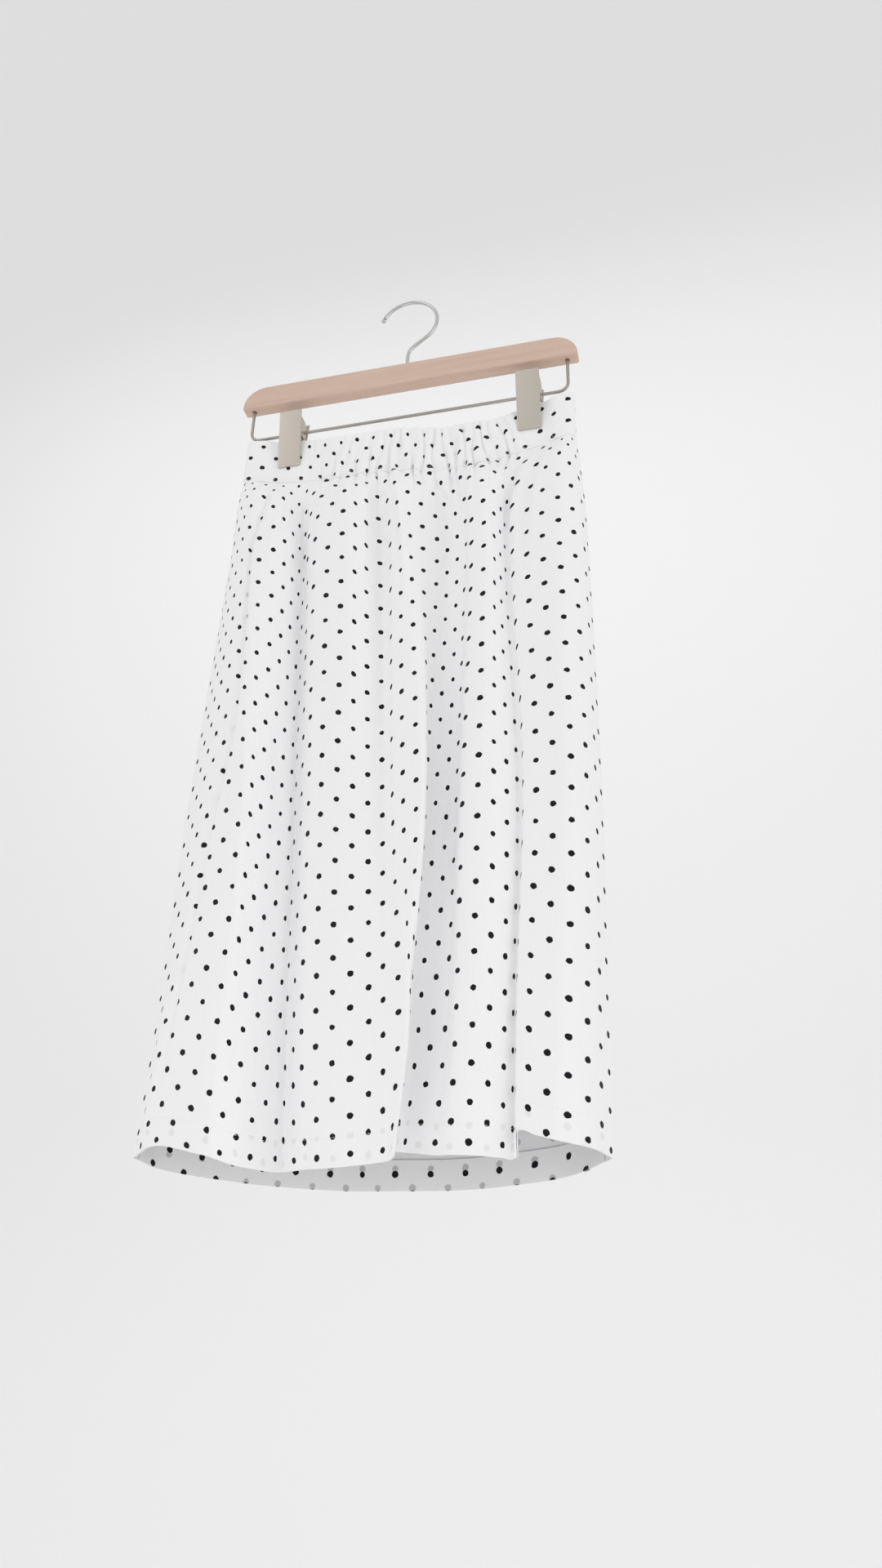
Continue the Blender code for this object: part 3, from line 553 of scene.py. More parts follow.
def slab(corners, radii, thickness, edge):
    """Flat plate with a rounded outline and rounded edges, its thickness along the third axis."""
    rings = []
    for face in (-1.0, 1.0):
        turns = (90.0, 65.0, 40.0, 20.0, 0.0) if face < 0 else (0.0, 20.0, 40.0, 65.0, 90.0)
        for turn in turns:
            inset = edge * (1.0 - math.cos(math.radians(turn)))
            height = face * (thickness / 2 - edge + edge * math.sin(math.radians(turn)))
            outline = shrunk(corners, inset, radii)
            rings.append(np.column_stack([outline, np.full(len(outline), height)]))
    return np.concatenate(rings), ring_faces(len(rings), len(rings[0]))


def shrunk(corners, inset, radii):
    """A rounded outline drawn in by a distance all round."""
    corners = np.asarray(corners, float)
    middle = corners.mean(axis=0)
    moved = corners - np.sign(corners - middle) * inset
    return rounded_outline(moved, [max(radius - inset, 0.02 * MM) for radius in radii])


def joined(shapes):
    """One list of points and faces from several."""
    points, faces, start = [], [], 0
    for some_points, some_faces in shapes:
        points.append(np.asarray(some_points))
        faces += [[start + i for i in face] for face in some_faces]
        start += len(some_points)
    return np.concatenate(points), faces


def linear(hex_colour):
    """Linear RGBA of an sRGB hex colour."""
    parts = [int(hex_colour[i:i + 2], 16) / 255 for i in (1, 3, 5)]
    return tuple(c / 12.92 if c <= 0.04045 else ((c + 0.055) / 1.055) ** 2.4 for c in parts) + (1.0,)


def add_node(tree, kind, inputs=None, **settings):
    """Adds a node to a tree with its settings, input values and links."""
    node = tree.nodes.new(kind)
    for name, value in settings.items():
        setattr(node, name, value)
    for name, value in (inputs or {}).items():
        if isinstance(value, bpy.types.NodeSocket):
            tree.links.new(value, node.inputs[name])
        else:
            node.inputs[name].default_value = value
    return node


def calculate(tree, operation, *values):
    """Output of one math node."""
    return add_node(tree, "ShaderNodeMath", dict(enumerate(values)), operation=operation).outputs[0]


def blend(tree, factor, first, second):
    """Output of one colour mix."""
    node = add_node(tree, "ShaderNodeMix", {0: factor}, data_type="RGBA")
    for socket, value in ((node.inputs[6], first), (node.inputs[7], second)):
        if isinstance(value, bpy.types.NodeSocket):
            tree.links.new(value, socket)
        else:
            socket.default_value = value
    return node.outputs[2]


def noise(tree, place, scale, detail=2.0, roughness=0.5, stretch=(1.0, 1.0, 1.0)):
    """Output of a noise texture, its place stretched by axis."""
    scaled = add_node(tree, "ShaderNodeVectorMath", {0: place, 1: stretch}, operation="MULTIPLY")
    texture = add_node(tree, "ShaderNodeTexNoise", {
        "Vector": scaled.outputs[0], "Scale": scale, "Detail": detail, "Roughness": roughness})
    return texture.outputs["Fac"]


def new_material(name):
    """Empty node material with its Principled shader."""
    material = bpy.data.materials.new(name)
    material.use_nodes = True
    tree = material.node_tree
    return material, tree, tree.nodes["Principled BSDF"]


def printed_dots(tree, place, settings, softness):
    """1 on the dots of the staggered print and 0 off them, at a place on the cloth in metres."""
    spacing, radius = settings.dot_spacing, settings.dot_diameter / 2
    ragged = noise(tree, place, 420.0, 1.0)
    uneven = noise(tree, place, 34.0, 0.0)
    distances = []
    for shift in (0.5, 0.0):
        moved = add_node(tree, "ShaderNodeVectorMath", {
            0: place, 1: (1 / spacing, 1 / spacing, 0.0), 2: (shift, shift, 0.5)}, operation="MULTIPLY_ADD")
        cell = add_node(tree, "ShaderNodeVectorMath", {0: moved.outputs[0]}, operation="FRACTION")
        middle = add_node(tree, "ShaderNodeVectorMath", {0: cell.outputs[0], 1: (0.5, 0.5, 0.5)},
                          operation="SUBTRACT")
        away = add_node(tree, "ShaderNodeVectorMath", {0: middle.outputs[0]}, operation="LENGTH")
        distances.append(away.outputs["Value"])
    nearest = calculate(tree, "MULTIPLY", calculate(tree, "MINIMUM", *distances), spacing)
    rough_edge = calculate(tree, "MULTIPLY_ADD", ragged, 0.0011, -0.00055)
    rough_size = calculate(tree, "MULTIPLY_ADD", uneven, 0.0010, -0.00050)
    edge = add_node(tree, "ShaderNodeMapRange", {
        "Value": calculate(tree, "ADD", calculate(tree, "ADD", nearest, rough_edge), rough_size),
        "From Min": radius - softness, "From Max": radius + softness,
        "To Min": 1.0, "To Max": 0.0}, interpolation_type="SMOOTHSTEP")
    return edge.outputs["Result"]


def cotton(name, settings, right_side, behind=0.0, shine=0.0):
    """Woven cotton blend: matt white, printed on its right side with small dark dots.

    On the wrong side the dots are grey and soft. At the hem those of the second layer shine
    through faintly: behind is 1 where the turn-up lies behind and -1 where the panel does.
    """
    material, tree, shader = new_material(name)
    place = add_node(tree, "ShaderNodeUVMap", uv_map="Cloth").outputs["UV"]
    softness = 0.00022 if right_side else 0.0006
    dots = calculate(tree, "MULTIPLY", printed_dots(tree, place, settings, softness),
                     1.0 if right_side else settings.show_through)
    if behind:
        from_hem = add_node(tree, "ShaderNodeAttribute", attribute_name="from_hem").outputs["Fac"]
        twice = add_node(tree, "ShaderNodeCombineXYZ", {
            "Y": calculate(tree, "MULTIPLY", from_hem, 2.0 * behind)})
        mirrored = add_node(tree, "ShaderNodeVectorMath", {0: place, 1: twice.outputs[0]}, operation="ADD")
        layer = calculate(tree, "MULTIPLY", printed_dots(tree, mirrored.outputs[0], settings, 0.0006),
                           calculate(tree, "LESS_THAN", from_hem, TURN_UP_MM * MM))
        dots = calculate(tree, "MAXIMUM", dots, calculate(tree, "MULTIPLY", layer, shine))
    cloudy = noise(tree, place, 26.0, 3.0)
    ground = blend(tree, calculate(tree, "MULTIPLY", cloudy, 0.35), tuple(settings.cloth_colour) + (1.0,),
                   tuple(c * 0.965 for c in settings.cloth_colour) + (1.0,))
    colour = blend(tree, dots, ground, tuple(settings.dot_colour) + (1.0,))
    tree.links.new(colour, shader.inputs["Base Color"])
    warp = noise(tree, place, 1.0, 1.0, 0.5, (2200.0, 260.0, 1.0))
    weft = noise(tree, place, 1.0, 1.0, 0.5, (260.0, 2200.0, 1.0))
    soft = noise(tree, place, 1.0, 2.0, 0.55, (62.0, 11.0, 1.0))
    weave = add_node(tree, "ShaderNodeBump", {
        "Height": calculate(tree, "ADD", warp, weft), "Strength": 0.5, "Distance": settings.weave_relief})
    creased = add_node(tree, "ShaderNodeBump", {
        "Height": soft, "Strength": 1.0, "Distance": settings.soft_relief,
        "Normal": weave.outputs["Normal"]})
    tree.links.new(creased.outputs["Normal"], shader.inputs["Normal"])
    shader.inputs["Roughness"].default_value = 0.88
    shader.inputs["Specular IOR Level"].default_value = 0.2
    shader.inputs["Sheen Weight"].default_value = 0.08
    return material


def beech(name, settings):
    """Pale beech under a clear satin lacquer: fine short flecks along the grain, soft highlights, and painted
    shade round the wire loop's legs.
    """
    material, tree, shader = new_material(name)
    place = add_node(tree, "ShaderNodeTexCoord").outputs["Object"]
    bands = noise(tree, place, 1.0, 4.0, 0.6, (9.0, 160.0, 160.0))
    flecks = noise(tree, place, 1.0, 2.0, 0.6, (170.0, 900.0, 1100.0))
    pale, dark = tuple(settings.wood_colour) + (1.0,), tuple(settings.grain_colour) + (1.0,)
    grain = blend(tree, bands, pale, dark)
    sharp = add_node(tree, "ShaderNodeMapRange", {"Value": flecks, "From Min": 0.58, "From Max": 0.70,
                                                  "To Min": 0.0, "To Max": 0.55})
    grain = blend(tree, sharp.outputs["Result"], grain, dark)
    # Painted shade: a dark brown disc, at most 80 per cent strong, is painted on the bar's underside round
    # each leg of the wire loop. It stands in for the shade inside the leg's hole, which the bar's shape does
    # not have.
    away = add_node(tree, "ShaderNodeVectorMath", {0: place}, operation="ABSOLUTE")
    from_leg = add_node(tree, "ShaderNodeVectorMath", {0: away.outputs[0], 1: (LOOP_LEG_X, 0.0, -BAR_LOW)},
                        operation="DISTANCE")
    painted_hole_shade = add_node(tree, "ShaderNodeMapRange", {"Value": from_leg.outputs["Value"], "From Min": 0.0021,
                                                 "From Max": 0.0029, "To Min": 0.8, "To Max": 0.0})
    colour = blend(tree, painted_hole_shade.outputs["Result"], grain, linear("#4A382C"))
    tree.links.new(colour, shader.inputs["Base Color"])
    pores = add_node(tree, "ShaderNodeBump", {"Height": flecks, "Strength": 0.25, "Distance": 0.0002})
    tree.links.new(pores.outputs["Normal"], shader.inputs["Normal"])
    shader.inputs["Roughness"].default_value = 0.5
    shader.inputs["Specular IOR Level"].default_value = 0.35
    shader.inputs["Coat Weight"].default_value = 0.10
    shader.inputs["Coat Roughness"].default_value = 0.35
    return material


def metal(name, colour, roughness, brushed=0.0):
    """Plated steel: bright and even, or dulled by fine brushing that spreads its highlights."""
    material, tree, shader = new_material(name)
    shader.inputs["Metallic"].default_value = 1.0
    shader.inputs["Base Color"].default_value = linear(colour)
    place = add_node(tree, "ShaderNodeTexCoord").outputs["Object"]
    fine = noise(tree, place, 1.0, 2.0, 0.6, (1400.0, 1400.0, 300.0))
    dull = add_node(tree, "ShaderNodeMapRange", {"Value": fine, "To Min": roughness - brushed,
                                                 "To Max": roughness + brushed})
    tree.links.new(dull.outputs["Result"], shader.inputs["Roughness"])
    return material


def matt(name, colour, roughness=0.9):
    """Plain matt finish of one colour, such as thread, paint or the inside of a slot."""
    material, tree, shader = new_material(name)
    shader.inputs["Base Color"].default_value = linear(colour)
    shader.inputs["Roughness"].default_value = roughness
    return material


def stitch_nodes():
    """Geometry Nodes group that lays one short thread stitch after another along a line."""
    group = bpy.data.node_groups.new("stitch_row", "GeometryNodeTree")
    group.interface.new_socket("Line", in_out="INPUT", socket_type="NodeSocketGeometry")
    for title, value in (("Pitch", 0.003), ("Stitch length", 0.0022), ("Thread radius", 0.00018)):
        group.interface.new_socket(title, in_out="INPUT", socket_type="NodeSocketFloat").default_value = value
    group.interface.new_socket("Material", in_out="INPUT", socket_type="NodeSocketMaterial")
    group.interface.new_socket("Stitches", in_out="OUTPUT", socket_type="NodeSocketGeometry")
    given = add_node(group, "NodeGroupInput").outputs
    curve = add_node(group, "GeometryNodeMeshToCurve", {"Mesh": given["Line"]})
    spaced = add_node(group, "GeometryNodeResampleCurve", {
        "Curve": curve.outputs[0], "Length": given["Pitch"]}, mode="LENGTH")
    ahead = add_node(group, "GeometryNodeInputTangent")
    turned = add_node(group, "FunctionNodeAlignRotationToVector", {"Vector": ahead.outputs[0]}, axis="X")
    thread = add_node(group, "GeometryNodeMeshUVSphere", {"Segments": 6, "Rings": 4, "Radius": 1.0})
    half = add_node(group, "ShaderNodeMath", {0: given["Stitch length"], 1: 0.5}, operation="MULTIPLY")
    size = add_node(group, "ShaderNodeCombineXYZ", {
        "X": half.outputs[0], "Y": given["Thread radius"], "Z": given["Thread radius"]})
    laid = add_node(group, "GeometryNodeInstanceOnPoints", {
        "Points": spaced.outputs[0], "Instance": thread.outputs["Mesh"], "Rotation": turned.outputs[0],
        "Scale": size.outputs[0]})
    real = add_node(group, "GeometryNodeRealizeInstances", {"Geometry": laid.outputs[0]})
    finished = add_node(group, "GeometryNodeSetMaterial", {
        "Geometry": real.outputs[0], "Material": given["Material"]})
    add_node(group, "NodeGroupOutput", {"Stitches": finished.outputs[0]})
    return group


def stitched(name, points, group, **inputs):
    """Plain mesh of stitches along a line of points in metres."""
    mesh = bpy.data.meshes.new(name + "_line")
    mesh.from_pydata([tuple(point) for point in points], [(i, i + 1) for i in range(len(points) - 1)], [])
    line = bpy.data.objects.new(name + "_line", mesh)
    bpy.context.scene.collection.objects.link(line)
    step = line.modifiers.new("Stitches", "NODES")
    step.node_group = group
    sockets = {item.name: item.identifier for item in group.interface.items_tree if item.in_out == "INPUT"}
    for title, value in inputs.items():
        step[sockets[title.replace("_", " ")]] = value
    ready = line.evaluated_get(bpy.context.evaluated_depsgraph_get())
    plain = bpy.data.meshes.new_from_object(ready)
    plain.name = name
    plain.shade_smooth()
    bpy.data.objects.remove(line)
    thing = bpy.data.objects.new(name, plain)
    bpy.context.scene.collection.objects.link(thing)
    return thing


class SkirtClothSettings(bpy.types.PropertyGroup):
    dot_spacing: FloatProperty(name="Dot spacing", description="From dot to dot along a row of the print",
                               default=0.0275, subtype="DISTANCE", unit="LENGTH")
    dot_diameter: FloatProperty(name="Dot diameter", description="Across one printed dot", default=0.0049,
                                subtype="DISTANCE", unit="LENGTH")
    show_through: FloatProperty(name="Show-through", default=0.40, subtype="FACTOR",
                                description="How dark a dot is on the cloth's wrong side")
    shine_through: FloatProperty(name="Shine-through", default=0.10, subtype="FACTOR",
                                 description="How dark the turned-up cloth's dots are through the hem")
    cloth_colour: FloatVectorProperty(name="Cloth", description="Colour of the ground", size=3,
                                      default=linear("#F5F5F6")[:3], subtype="COLOR")
    dot_colour: FloatVectorProperty(name="Dots", description="Colour of the printed dots", size=3,
                                    default=linear("#141519")[:3], subtype="COLOR")
    weave_relief: FloatProperty(name="Weave relief", description="Height of the threads in the weave",
                                default=0.00006, subtype="DISTANCE", unit="LENGTH")
    soft_relief: FloatProperty(name="Soft relief", default=0.0012, subtype="DISTANCE", unit="LENGTH",
                               description="Height of the faint unevenness of worn cloth")
    stitch_pitch: FloatProperty(name="Stitch pitch", default=0.0030, subtype="DISTANCE", unit="LENGTH",
                                description="From one stitch to the next")
    stitch_length: FloatProperty(name="Stitch length", description="Thread that shows of one stitch",
                                 default=0.0022, subtype="DISTANCE", unit="LENGTH")
    thread_radius: FloatProperty(name="Thread radius", description="Half of the thread's thickness",
                                 default=0.00018, subtype="DISTANCE", unit="LENGTH")


class SkirtHangerSettings(bpy.types.PropertyGroup):
    wood_colour: FloatVectorProperty(name="Wood", description="Colour of the wood", size=3,
                                     default=linear("#DCC4B5")[:3], subtype="COLOR")
    grain_colour: FloatVectorProperty(name="Grain", description="Colour of the darker grain", size=3,
                                      default=linear("#C8A793")[:3], subtype="COLOR")
    spring_turns: IntProperty(name="Spring turns", description="Turns of a clip's coil spring", default=8)


class SkirtStageSettings(bpy.types.PropertyGroup):
    fill: FloatProperty(name="Fill", description="Brightness of the light from all round", default=0.82)
    key_power: FloatProperty(name="Key", description="Power of the broad light in front", default=3.5,
                             unit="POWER")
    side_power: FloatProperty(name="Side light", description="Power of the weak light on the right",
                              default=3.1, unit="POWER")
    bounce_power: FloatProperty(name="Bounce", description="Power of the light thrown up by the floor",
                                default=1.2, unit="POWER")
    wash_power: FloatProperty(name="Backdrop light", description="Power of the light on the backdrop",
                              default=13.0, unit="POWER")
    backdrop: FloatProperty(name="Backdrop", description="From the skirt to the curved backdrop behind it",
                            default=2.8, subtype="DISTANCE", unit="LENGTH")


def registered(thing, node=None):
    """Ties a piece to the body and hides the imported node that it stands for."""
    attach(thing, BODY)
    if node is not None:
        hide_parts(node)


def panel_rows(count=140):
    """Heights of a panel's rows, crowded below the waist seam, from just inside the waistband."""
    rows = np.linspace(0.0, 1.0, count) ** 1.5
    return np.concatenate([[-1.4 / PANEL_LENGTH_MM], rows])


class SKIRT_OT_panels(bpy.types.Operator):
    """Make the front and the back panel, hanging in their folds"""
    bl_idname = "midi_skirt.panels"
    bl_label = "Skirt panels"

    def execute(self, context):
        settings = context.scene.skirt_cloth
        materials = (cotton("cotton_right_side_hemmed", settings, True, 1.0, settings.shine_through),
                     cotton("cotton_wrong_side", settings, False))
        for side, columns in (("front", 340), ("back", 200)):
            drape = Drape(side)
            surface, flat, from_hem = drape.panel(columns, panel_rows())
            panel = cloth_shell("cloth_skirt_" + side, surface, flat, from_hem, drape.outward,
                                CLOTH_WALL_MM, materials)
            registered(panel, "skirt_" + side)
        return {"FINISHED"}


class SKIRT_OT_waistband(bpy.types.Operator):
    """Make the two halves of the ruched elastic waistband"""
    bl_idname = "midi_skirt.waistband"
    bl_label = "Waistband"

    def execute(self, context):
        settings = context.scene.skirt_cloth
        materials = (cotton("cotton_band", settings, True), cotton("cotton_band_inside", settings, False))
        for side, columns in (("front", 820), ("back", 560)):
            drape = Drape(side)
            surface, flat = drape.band(columns, np.linspace(0.0, 1.0, 28))
            far_from_hem = np.full(surface.shape[:2], BAND_HEIGHT_MM)
            band = cloth_shell("cloth_waistband_" + side, surface, flat, far_from_hem, drape.outward,
                               BAND_WALL_MM, materials)
            registered(band, "waistband_" + side)
        return {"FINISHED"}


class SKIRT_OT_hem(bpy.types.Operator):
    """Make the turned-up hem of each panel, its printed side seen on the inside"""
    bl_idname = "midi_skirt.hem"
    bl_label = "Turned-up hem"

    def execute(self, context):
        settings = context.scene.skirt_cloth
        materials = (cotton("cotton_turn_up_inside", settings, False),
                     cotton("cotton_turn_up", settings, True, -1.0, settings.show_through))
        for side, columns in (("front", 340), ("back", 200)):
            drape = Drape(side)
            heights = np.linspace(1.0 - TURN_UP_MM / PANEL_LENGTH_MM, 1.0, 9)
            surface, flat, from_hem = drape.panel(columns, heights)
            flat = flat.copy()
            flat[..., 1] += 2 * from_hem
            clear_of_seams = slice(3, -3)
            turn_up = cloth_shell("cloth_hem_turn_up_" + side, surface[:, clear_of_seams],
                                  flat[:, clear_of_seams], from_hem[:, clear_of_seams],
                                  drape.outward, TURN_UP_WALL_MM, materials, TURN_UP_INSET_MM)
            registered(turn_up, "hem_turn_up_" + side)
        return {"FINISHED"}


class SKIRT_OT_stitches(bpy.types.Operator):
    """Sew the hem and the casing with single rows of white thread"""
    bl_idname = "midi_skirt.stitches"
    bl_label = "Stitches"

    def execute(self, context):
        settings = context.scene.skirt_cloth
        thread = matt("white_thread", "#F4F3F0", 0.8)
        group = stitch_nodes()
        for side in ("front", "back"):
            drape = Drape(side)
            near_hem = 1.0 - (TURN_UP_MM - 2.0) / PANEL_LENGTH_MM
            surface = drape.panel(900, np.array([near_hem - 0.003, near_hem, near_hem + 0.003]))[0]
            outside = surface + surface_normals(surface, drape.outward) * (CLOTH_WALL_MM / 2)
            hem = outside[1]
            surface = drape.band(1200, np.array([0.90, 0.94, 0.98]))[0]
            outside = surface + surface_normals(surface, drape.outward) * (BAND_WALL_MM / 2)
            for name, line in (("hem_stitches_", hem), ("casing_stitches_", outside[1])):
                row = stitched(name + side, line * MM, group, Pitch=settings.stitch_pitch,
                               Stitch_length=settings.stitch_length, Thread_radius=settings.thread_radius,
                               Material=thread)
                registered(row)
        return {"FINISHED"}


class SKIRT_OT_bar(bpy.types.Operator):
    """Make the hanger's wooden bar"""
    bl_idname = "midi_skirt.bar"
    bl_label = "Wooden bar"

    def execute(self, context):
        half, low, high = BAR_LENGTH / 2, BAR_LOW, BAR_LOW + BAR_HEIGHT
        corners = ((-half, low), (half, low), (half, high), (-half, high))
        radii = (0.0022, 0.0022, BAR_CORNER_RADIUS, BAR_CORNER_RADIUS)
        points, faces = slab(corners, radii, BAR_THICKNESS, 0.0018)
        points = np.column_stack([points[:, 0], -points[:, 2], points[:, 1]])
        finish = beech("beech_lacquered", context.scene.skirt_hanger)
        bar = new_object("wooden_bar", points, faces, [finish], 50.0)
        registered(bar, "hanger_bar")
        return {"FINISHED"}


def arc(centre_x, centre_z, radius, start, end, steps):
    """Points of an arc in the plane of the hanger, angles in degrees."""
    angles = np.radians(np.linspace(start, end, steps))
    return np.column_stack([centre_x + radius * np.cos(angles), np.zeros(steps),
                            centre_z + radius * np.sin(angles)])


class SKIRT_OT_wires(bpy.types.Operator):
    """Make the hook with its tip and collar, and the wire loop below the bar"""
    bl_idname = "midi_skirt.wires"
    bl_label = "Hook and wires"

    def execute(self, context):
        chrome = metal("polished_chrome", "#C6C5C2", 0.16, 0.02)
        plated = metal("plated_wire", "#ADA6A0", 0.36, 0.05)
        bend = arc(0.0, HOOK_WIRE_RADIUS - HOOK_ARC_RADIUS, HOOK_ARC_RADIUS,
                   HOOK_TIP_ANGLE, HOOK_END_ANGLE, 60)
        heading = math.radians(HOOK_END_ANGLE - 90.0)
        pull = 0.022
        start, stem = bend[-1], np.array([0.0, 0.0, HOOK_STEM_TOP])
        near_start = start + pull * np.array([math.cos(heading), 0.0, math.sin(heading)])
        near_stem = stem + np.array([0.0, 0.0, pull * 0.7])
        t = np.linspace(0.0, 1.0, 30)[1:, None]
        sweep = ((1 - t) ** 3 * start + 3 * t * (1 - t) ** 2 * near_start
                 + 3 * t * t * (1 - t) * near_stem + t ** 3 * stem)
        foot = np.array([[0.0, 0.0, BAR_LOW + BAR_HEIGHT - 0.012]])
        path = np.concatenate([bend, sweep, foot])
        hook = new_object("hook_wire", *tube(path, HOOK_WIRE_RADIUS), [chrome])
        registered(hook, "hook")
        tip_angle = math.radians(HOOK_TIP_ANGLE)
        along = HOOK_TIP_BALL_RADIUS + 0.0003
        centre = bend[0] + along * np.array([-math.sin(tip_angle), 0.0, math.cos(tip_angle)])
        rings = []
        for turn in np.linspace(1.0, 179.0, 16):
            ring = HOOK_TIP_BALL_RADIUS * math.sin(math.radians(turn))
            around = np.linspace(0.0, 2 * math.pi, 24, endpoint=False)
            rings.append(centre + np.column_stack([ring * np.cos(around), ring * np.sin(around), np.full(
                24, -HOOK_TIP_BALL_RADIUS * math.cos(math.radians(turn)))]))
        tip = new_object("hook_ball", np.concatenate(rings), ring_faces(16, 24), [chrome])
        registered(tip, "hook_tip")
        base = BAR_LOW + BAR_HEIGHT + 0.0003
        rings = []
        for radius, height in COLLAR_PROFILE:
            around = np.linspace(0.0, 2 * math.pi, 28, endpoint=False)
            rings.append(np.column_stack([radius * np.cos(around), radius * np.sin(around),
                                          np.full(28, base + height)]))
        collar = new_object("stem_collar", np.concatenate(rings), ring_faces(len(COLLAR_PROFILE), 28),
                            [metal("brass_collar", "#B79B72", 0.3, 0.05)], 40.0)
        registered(collar, "hook_collar")
        turn_x, turn_z = LOOP_LEG_X - LOOP_CORNER_RADIUS, LOOP_RUN_Z + LOOP_CORNER_RADIUS
        top = np.array([0.0, 0.0, BAR_LOW + 0.010])
        path = [[top - (LOOP_LEG_X, 0.0, 0.0)], arc(-turn_x, turn_z, LOOP_CORNER_RADIUS, 180.0, 270.0, 14),
                arc(turn_x, turn_z, LOOP_CORNER_RADIUS, 270.0, 360.0, 14), [top + (LOOP_LEG_X, 0.0, 0.0)]]
        loop = new_object("loop_wire", *tube(np.concatenate(path), LOOP_WIRE_RADIUS), [plated])
        registered(loop, "wire_loop")
        return {"FINISHED"}


class SKIRT_OT_clips(bpy.types.Operator):
    """Make the two spring clips: pressed plates with ears about the wire, and coil springs"""
    bl_idname = "midi_skirt.clips"
    bl_label = "Clips"

    def execute(self, context):
        plate_finish = metal("satin_nickel_plate", "#C8C0B6", 0.50, 0.04)
        spring_finish = metal("spring_wire", "#A9A39D", 0.3, 0.05)
        up = LOOP_RUN_Z - CLIP_BOTTOM_Z
        for clip in CLIPS:
            lean = math.radians(clip["lean"])
            ear_end = CLIP_JAW_Y + up * math.tan(lean) + 0.0045
            for face, outward, ear_x in (("front", -1.0, 0.0114), ("back", 1.0, 0.0099)):
                corners = ((-CLIP_WIDTH / 2, 0.0), (CLIP_WIDTH / 2, 0.0), (CLIP_WIDTH / 2, CLIP_HEIGHT),
                           (-CLIP_WIDTH / 2, CLIP_HEIGHT))
                points, faces = slab(corners, (0.0018, 0.0018, 0.0006, 0.0006), CLIP_SHEET, 0.0004)
                plate = np.column_stack([points[:, 0], -points[:, 2], points[:, 1]])
                plate[:, 1] += outward * CLIP_SHEET / 2
                shapes = [(plate, faces)]
                near, far = outward * CLIP_SHEET * 0.6, outward * (CLIP_SHEET / 2 - ear_end)
                low, high = up - 0.008, up + 0.014
                for direction in (-1.0, 1.0):
                    left, right = sorted((near, far))
                    rounding = (0.0006, 0.003, 0.005, 0.0006)
                    if outward > 0:
                        rounding = (0.003, 0.0006, 0.0006, 0.005)
                    points, faces = slab(((left, low), (right, low), (right, high), (left, high)), rounding,
                                         CLIP_SHEET, 0.0003)
                    ear = np.column_stack([direction * ear_x + points[:, 2], points[:, 0], points[:, 1]])
                    shapes.append((ear, faces))
                points, faces = joined(shapes)
                tilt = -outward * lean
                y, z = points[:, 1].copy(), points[:, 2].copy()
                points[:, 0] += clip["x"]
                points[:, 1] = y * math.cos(tilt) - z * math.sin(tilt) + outward * CLIP_JAW_Y
                points[:, 2] = y * math.sin(tilt) + z * math.cos(tilt) + CLIP_BOTTOM_Z
                name = "clip_%s_%s" % (clip["side"], face)
                made = new_object(name + "_plate", points, faces, [plate_finish], 40.0)
                registered(made, name)
            turns = context.scene.skirt_hanger.spring_turns
            angle = np.linspace(0.0, 2 * math.pi * turns, 24 * turns)
            coil = np.column_stack([clip["x"] + SPRING_LENGTH * 0.94 * (angle / angle[-1] - 0.5),
                                    COIL_RADIUS * np.cos(angle), LOOP_RUN_Z + COIL_RADIUS * np.sin(angle)])
            points, faces = tube(coil, COIL_WIRE_RADIUS, 8)
            spring = new_object("clip_%s_coil" % clip["side"], points, faces, [spring_finish])
            registered(spring, "clip_%s_spring" % clip["side"])
        return {"FINISHED"}


def area_light(name, place, towards, size, power, colour="#FFFFFF"):
    """Rectangular soft light at a place, facing another."""
    light = bpy.data.lights.new(name, "AREA")
    light.shape = "RECTANGLE"
    light.size, light.size_y = size
    light.energy = power
    light.spread = math.radians(110.0)
    light.color = linear(colour)[:3]
    lamp = bpy.data.objects.new(name, light)
    bpy.context.scene.collection.objects.link(lamp)
    turn = (Vector(place) - Vector(towards)).to_track_quat("Z", "Y").to_matrix().to_4x4()
    lamp.matrix_world = Matrix.Translation(place) @ turn


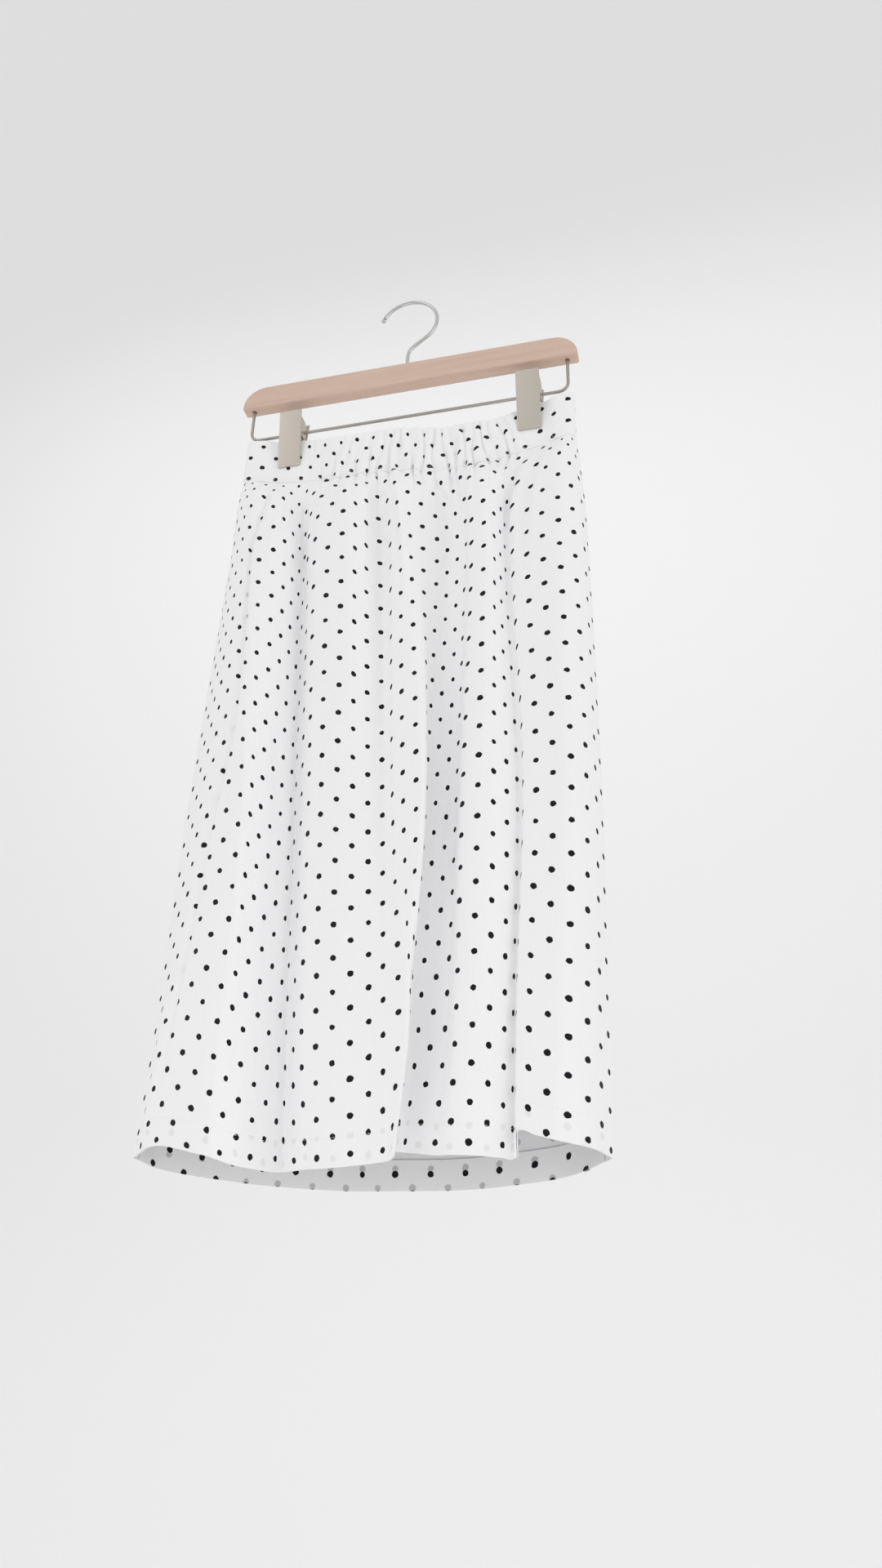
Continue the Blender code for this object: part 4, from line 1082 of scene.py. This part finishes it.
class SKIRT_OT_stage(bpy.types.Operator):
    """Make the pale floor and backdrop, the soft studio light and the camera"""
    bl_idname = "midi_skirt.stage"
    bl_label = "Stage"

    def execute(self, context):
        scene, settings = context.scene, context.scene.skirt_stage
        camera_data = bpy.data.cameras.new("camera")
        camera_data.lens = CAMERA_LENS_MM
        camera_data.sensor_width = SENSOR_MM
        camera_data.clip_end = 200.0
        camera = bpy.data.objects.new("camera", camera_data)
        scene.collection.objects.link(camera)
        ahead = Vector((math.sin(CAMERA_TURN) * math.cos(CAMERA_PITCH),
                        math.cos(CAMERA_TURN) * math.cos(CAMERA_PITCH), math.sin(CAMERA_PITCH)))
        level = Vector((math.cos(CAMERA_TURN), -math.sin(CAMERA_TURN), 0.0))
        above = level.cross(ahead)
        across = math.cos(CAMERA_ROLL) * level + math.sin(CAMERA_ROLL) * above
        upright = -math.sin(CAMERA_ROLL) * level + math.cos(CAMERA_ROLL) * above
        turn = Matrix((across, upright, -ahead)).transposed()
        camera.matrix_world = Matrix.Translation(CAMERA_PLACE) @ turn.to_4x4()
        scene.camera = camera
        world = bpy.data.worlds.new("studio")
        world.use_nodes = True
        fill = settings.fill
        world.node_tree.nodes["Background"].inputs["Color"].default_value = (fill, fill, fill, 1.0)
        scene.world = world
        scene.view_settings.view_transform = "Standard"
        bend = 1.5
        profile = [(-9.0, FLOOR_Z)]
        profile += [(settings.backdrop - bend + bend * math.sin(a), FLOOR_Z + bend - bend * math.cos(a))
                    for a in np.linspace(0.0, math.pi / 2, 24)]
        profile.append((settings.backdrop, 7.0))
        points = [(x, y, z) for y, z in profile for x in (-14.0, 14.0)]
        faces = [(2 * i, 2 * i + 1, 2 * i + 3, 2 * i + 2) for i in range(len(profile) - 1)]
        paint = matt("pale_studio_paint", "#F4F4F4", 0.95)
        floor = new_object("floor_and_backdrop", points, faces, [paint])
        area_light("key", (-1.9, -2.3, 0.8), (0.0, 0.0, -0.35), (2.2, 2.2), settings.key_power)
        area_light("side", (2.4, -0.7, -0.3), (0.0, 0.0, -0.6), (1.0, 2.0), settings.side_power)
        area_light("bounce", (0.0, -0.6, FLOOR_Z + 0.1), (0.0, 0.0, -0.9), (1.3, 0.8),
                   settings.bounce_power)
        area_light("backdrop_wash", (-0.4, 0.4, 3.4), (0.0, settings.backdrop, 0.6), (5.0, 1.2),
                   settings.wash_power)
        return {"FINISHED"}


class SKIRT_PT_panel(bpy.types.Panel):
    """Buttons and settings of the skirt in the sidebar"""
    bl_label = "Midi skirt"
    bl_idname = "SKIRT_PT_panel"
    bl_space_type = "VIEW_3D"
    bl_region_type = "UI"
    bl_category = "Skirt"

    def draw(self, context):
        layout = self.layout
        for operator in OPERATORS:
            layout.operator(operator.bl_idname)
        for owner in (context.scene.skirt_cloth, context.scene.skirt_hanger, context.scene.skirt_stage):
            box = layout.box()
            for name in owner.__annotations__:
                box.prop(owner, name)


OPERATORS = (SKIRT_OT_panels, SKIRT_OT_waistband, SKIRT_OT_hem, SKIRT_OT_stitches, SKIRT_OT_bar,
             SKIRT_OT_wires, SKIRT_OT_clips, SKIRT_OT_stage)
CLASSES = (SkirtClothSettings, SkirtHangerSettings, SkirtStageSettings, *OPERATORS, SKIRT_PT_panel)


def register():
    for cls in CLASSES:
        bpy.utils.register_class(cls)
    bpy.types.Scene.skirt_cloth = PointerProperty(type=SkirtClothSettings)
    bpy.types.Scene.skirt_hanger = PointerProperty(type=SkirtHangerSettings)
    bpy.types.Scene.skirt_stage = PointerProperty(type=SkirtStageSettings)


def unregister():
    del bpy.types.Scene.skirt_stage
    del bpy.types.Scene.skirt_hanger
    del bpy.types.Scene.skirt_cloth
    for cls in reversed(CLASSES):
        bpy.utils.unregister_class(cls)


def main():
    register()
    bpy.ops.midi_skirt.panels()
    bpy.ops.midi_skirt.waistband()
    bpy.ops.midi_skirt.hem()
    bpy.ops.midi_skirt.stitches()
    bpy.ops.midi_skirt.bar()
    bpy.ops.midi_skirt.wires()
    bpy.ops.midi_skirt.clips()
    bpy.ops.midi_skirt.stage()


if __name__ == "__main__":
    main()
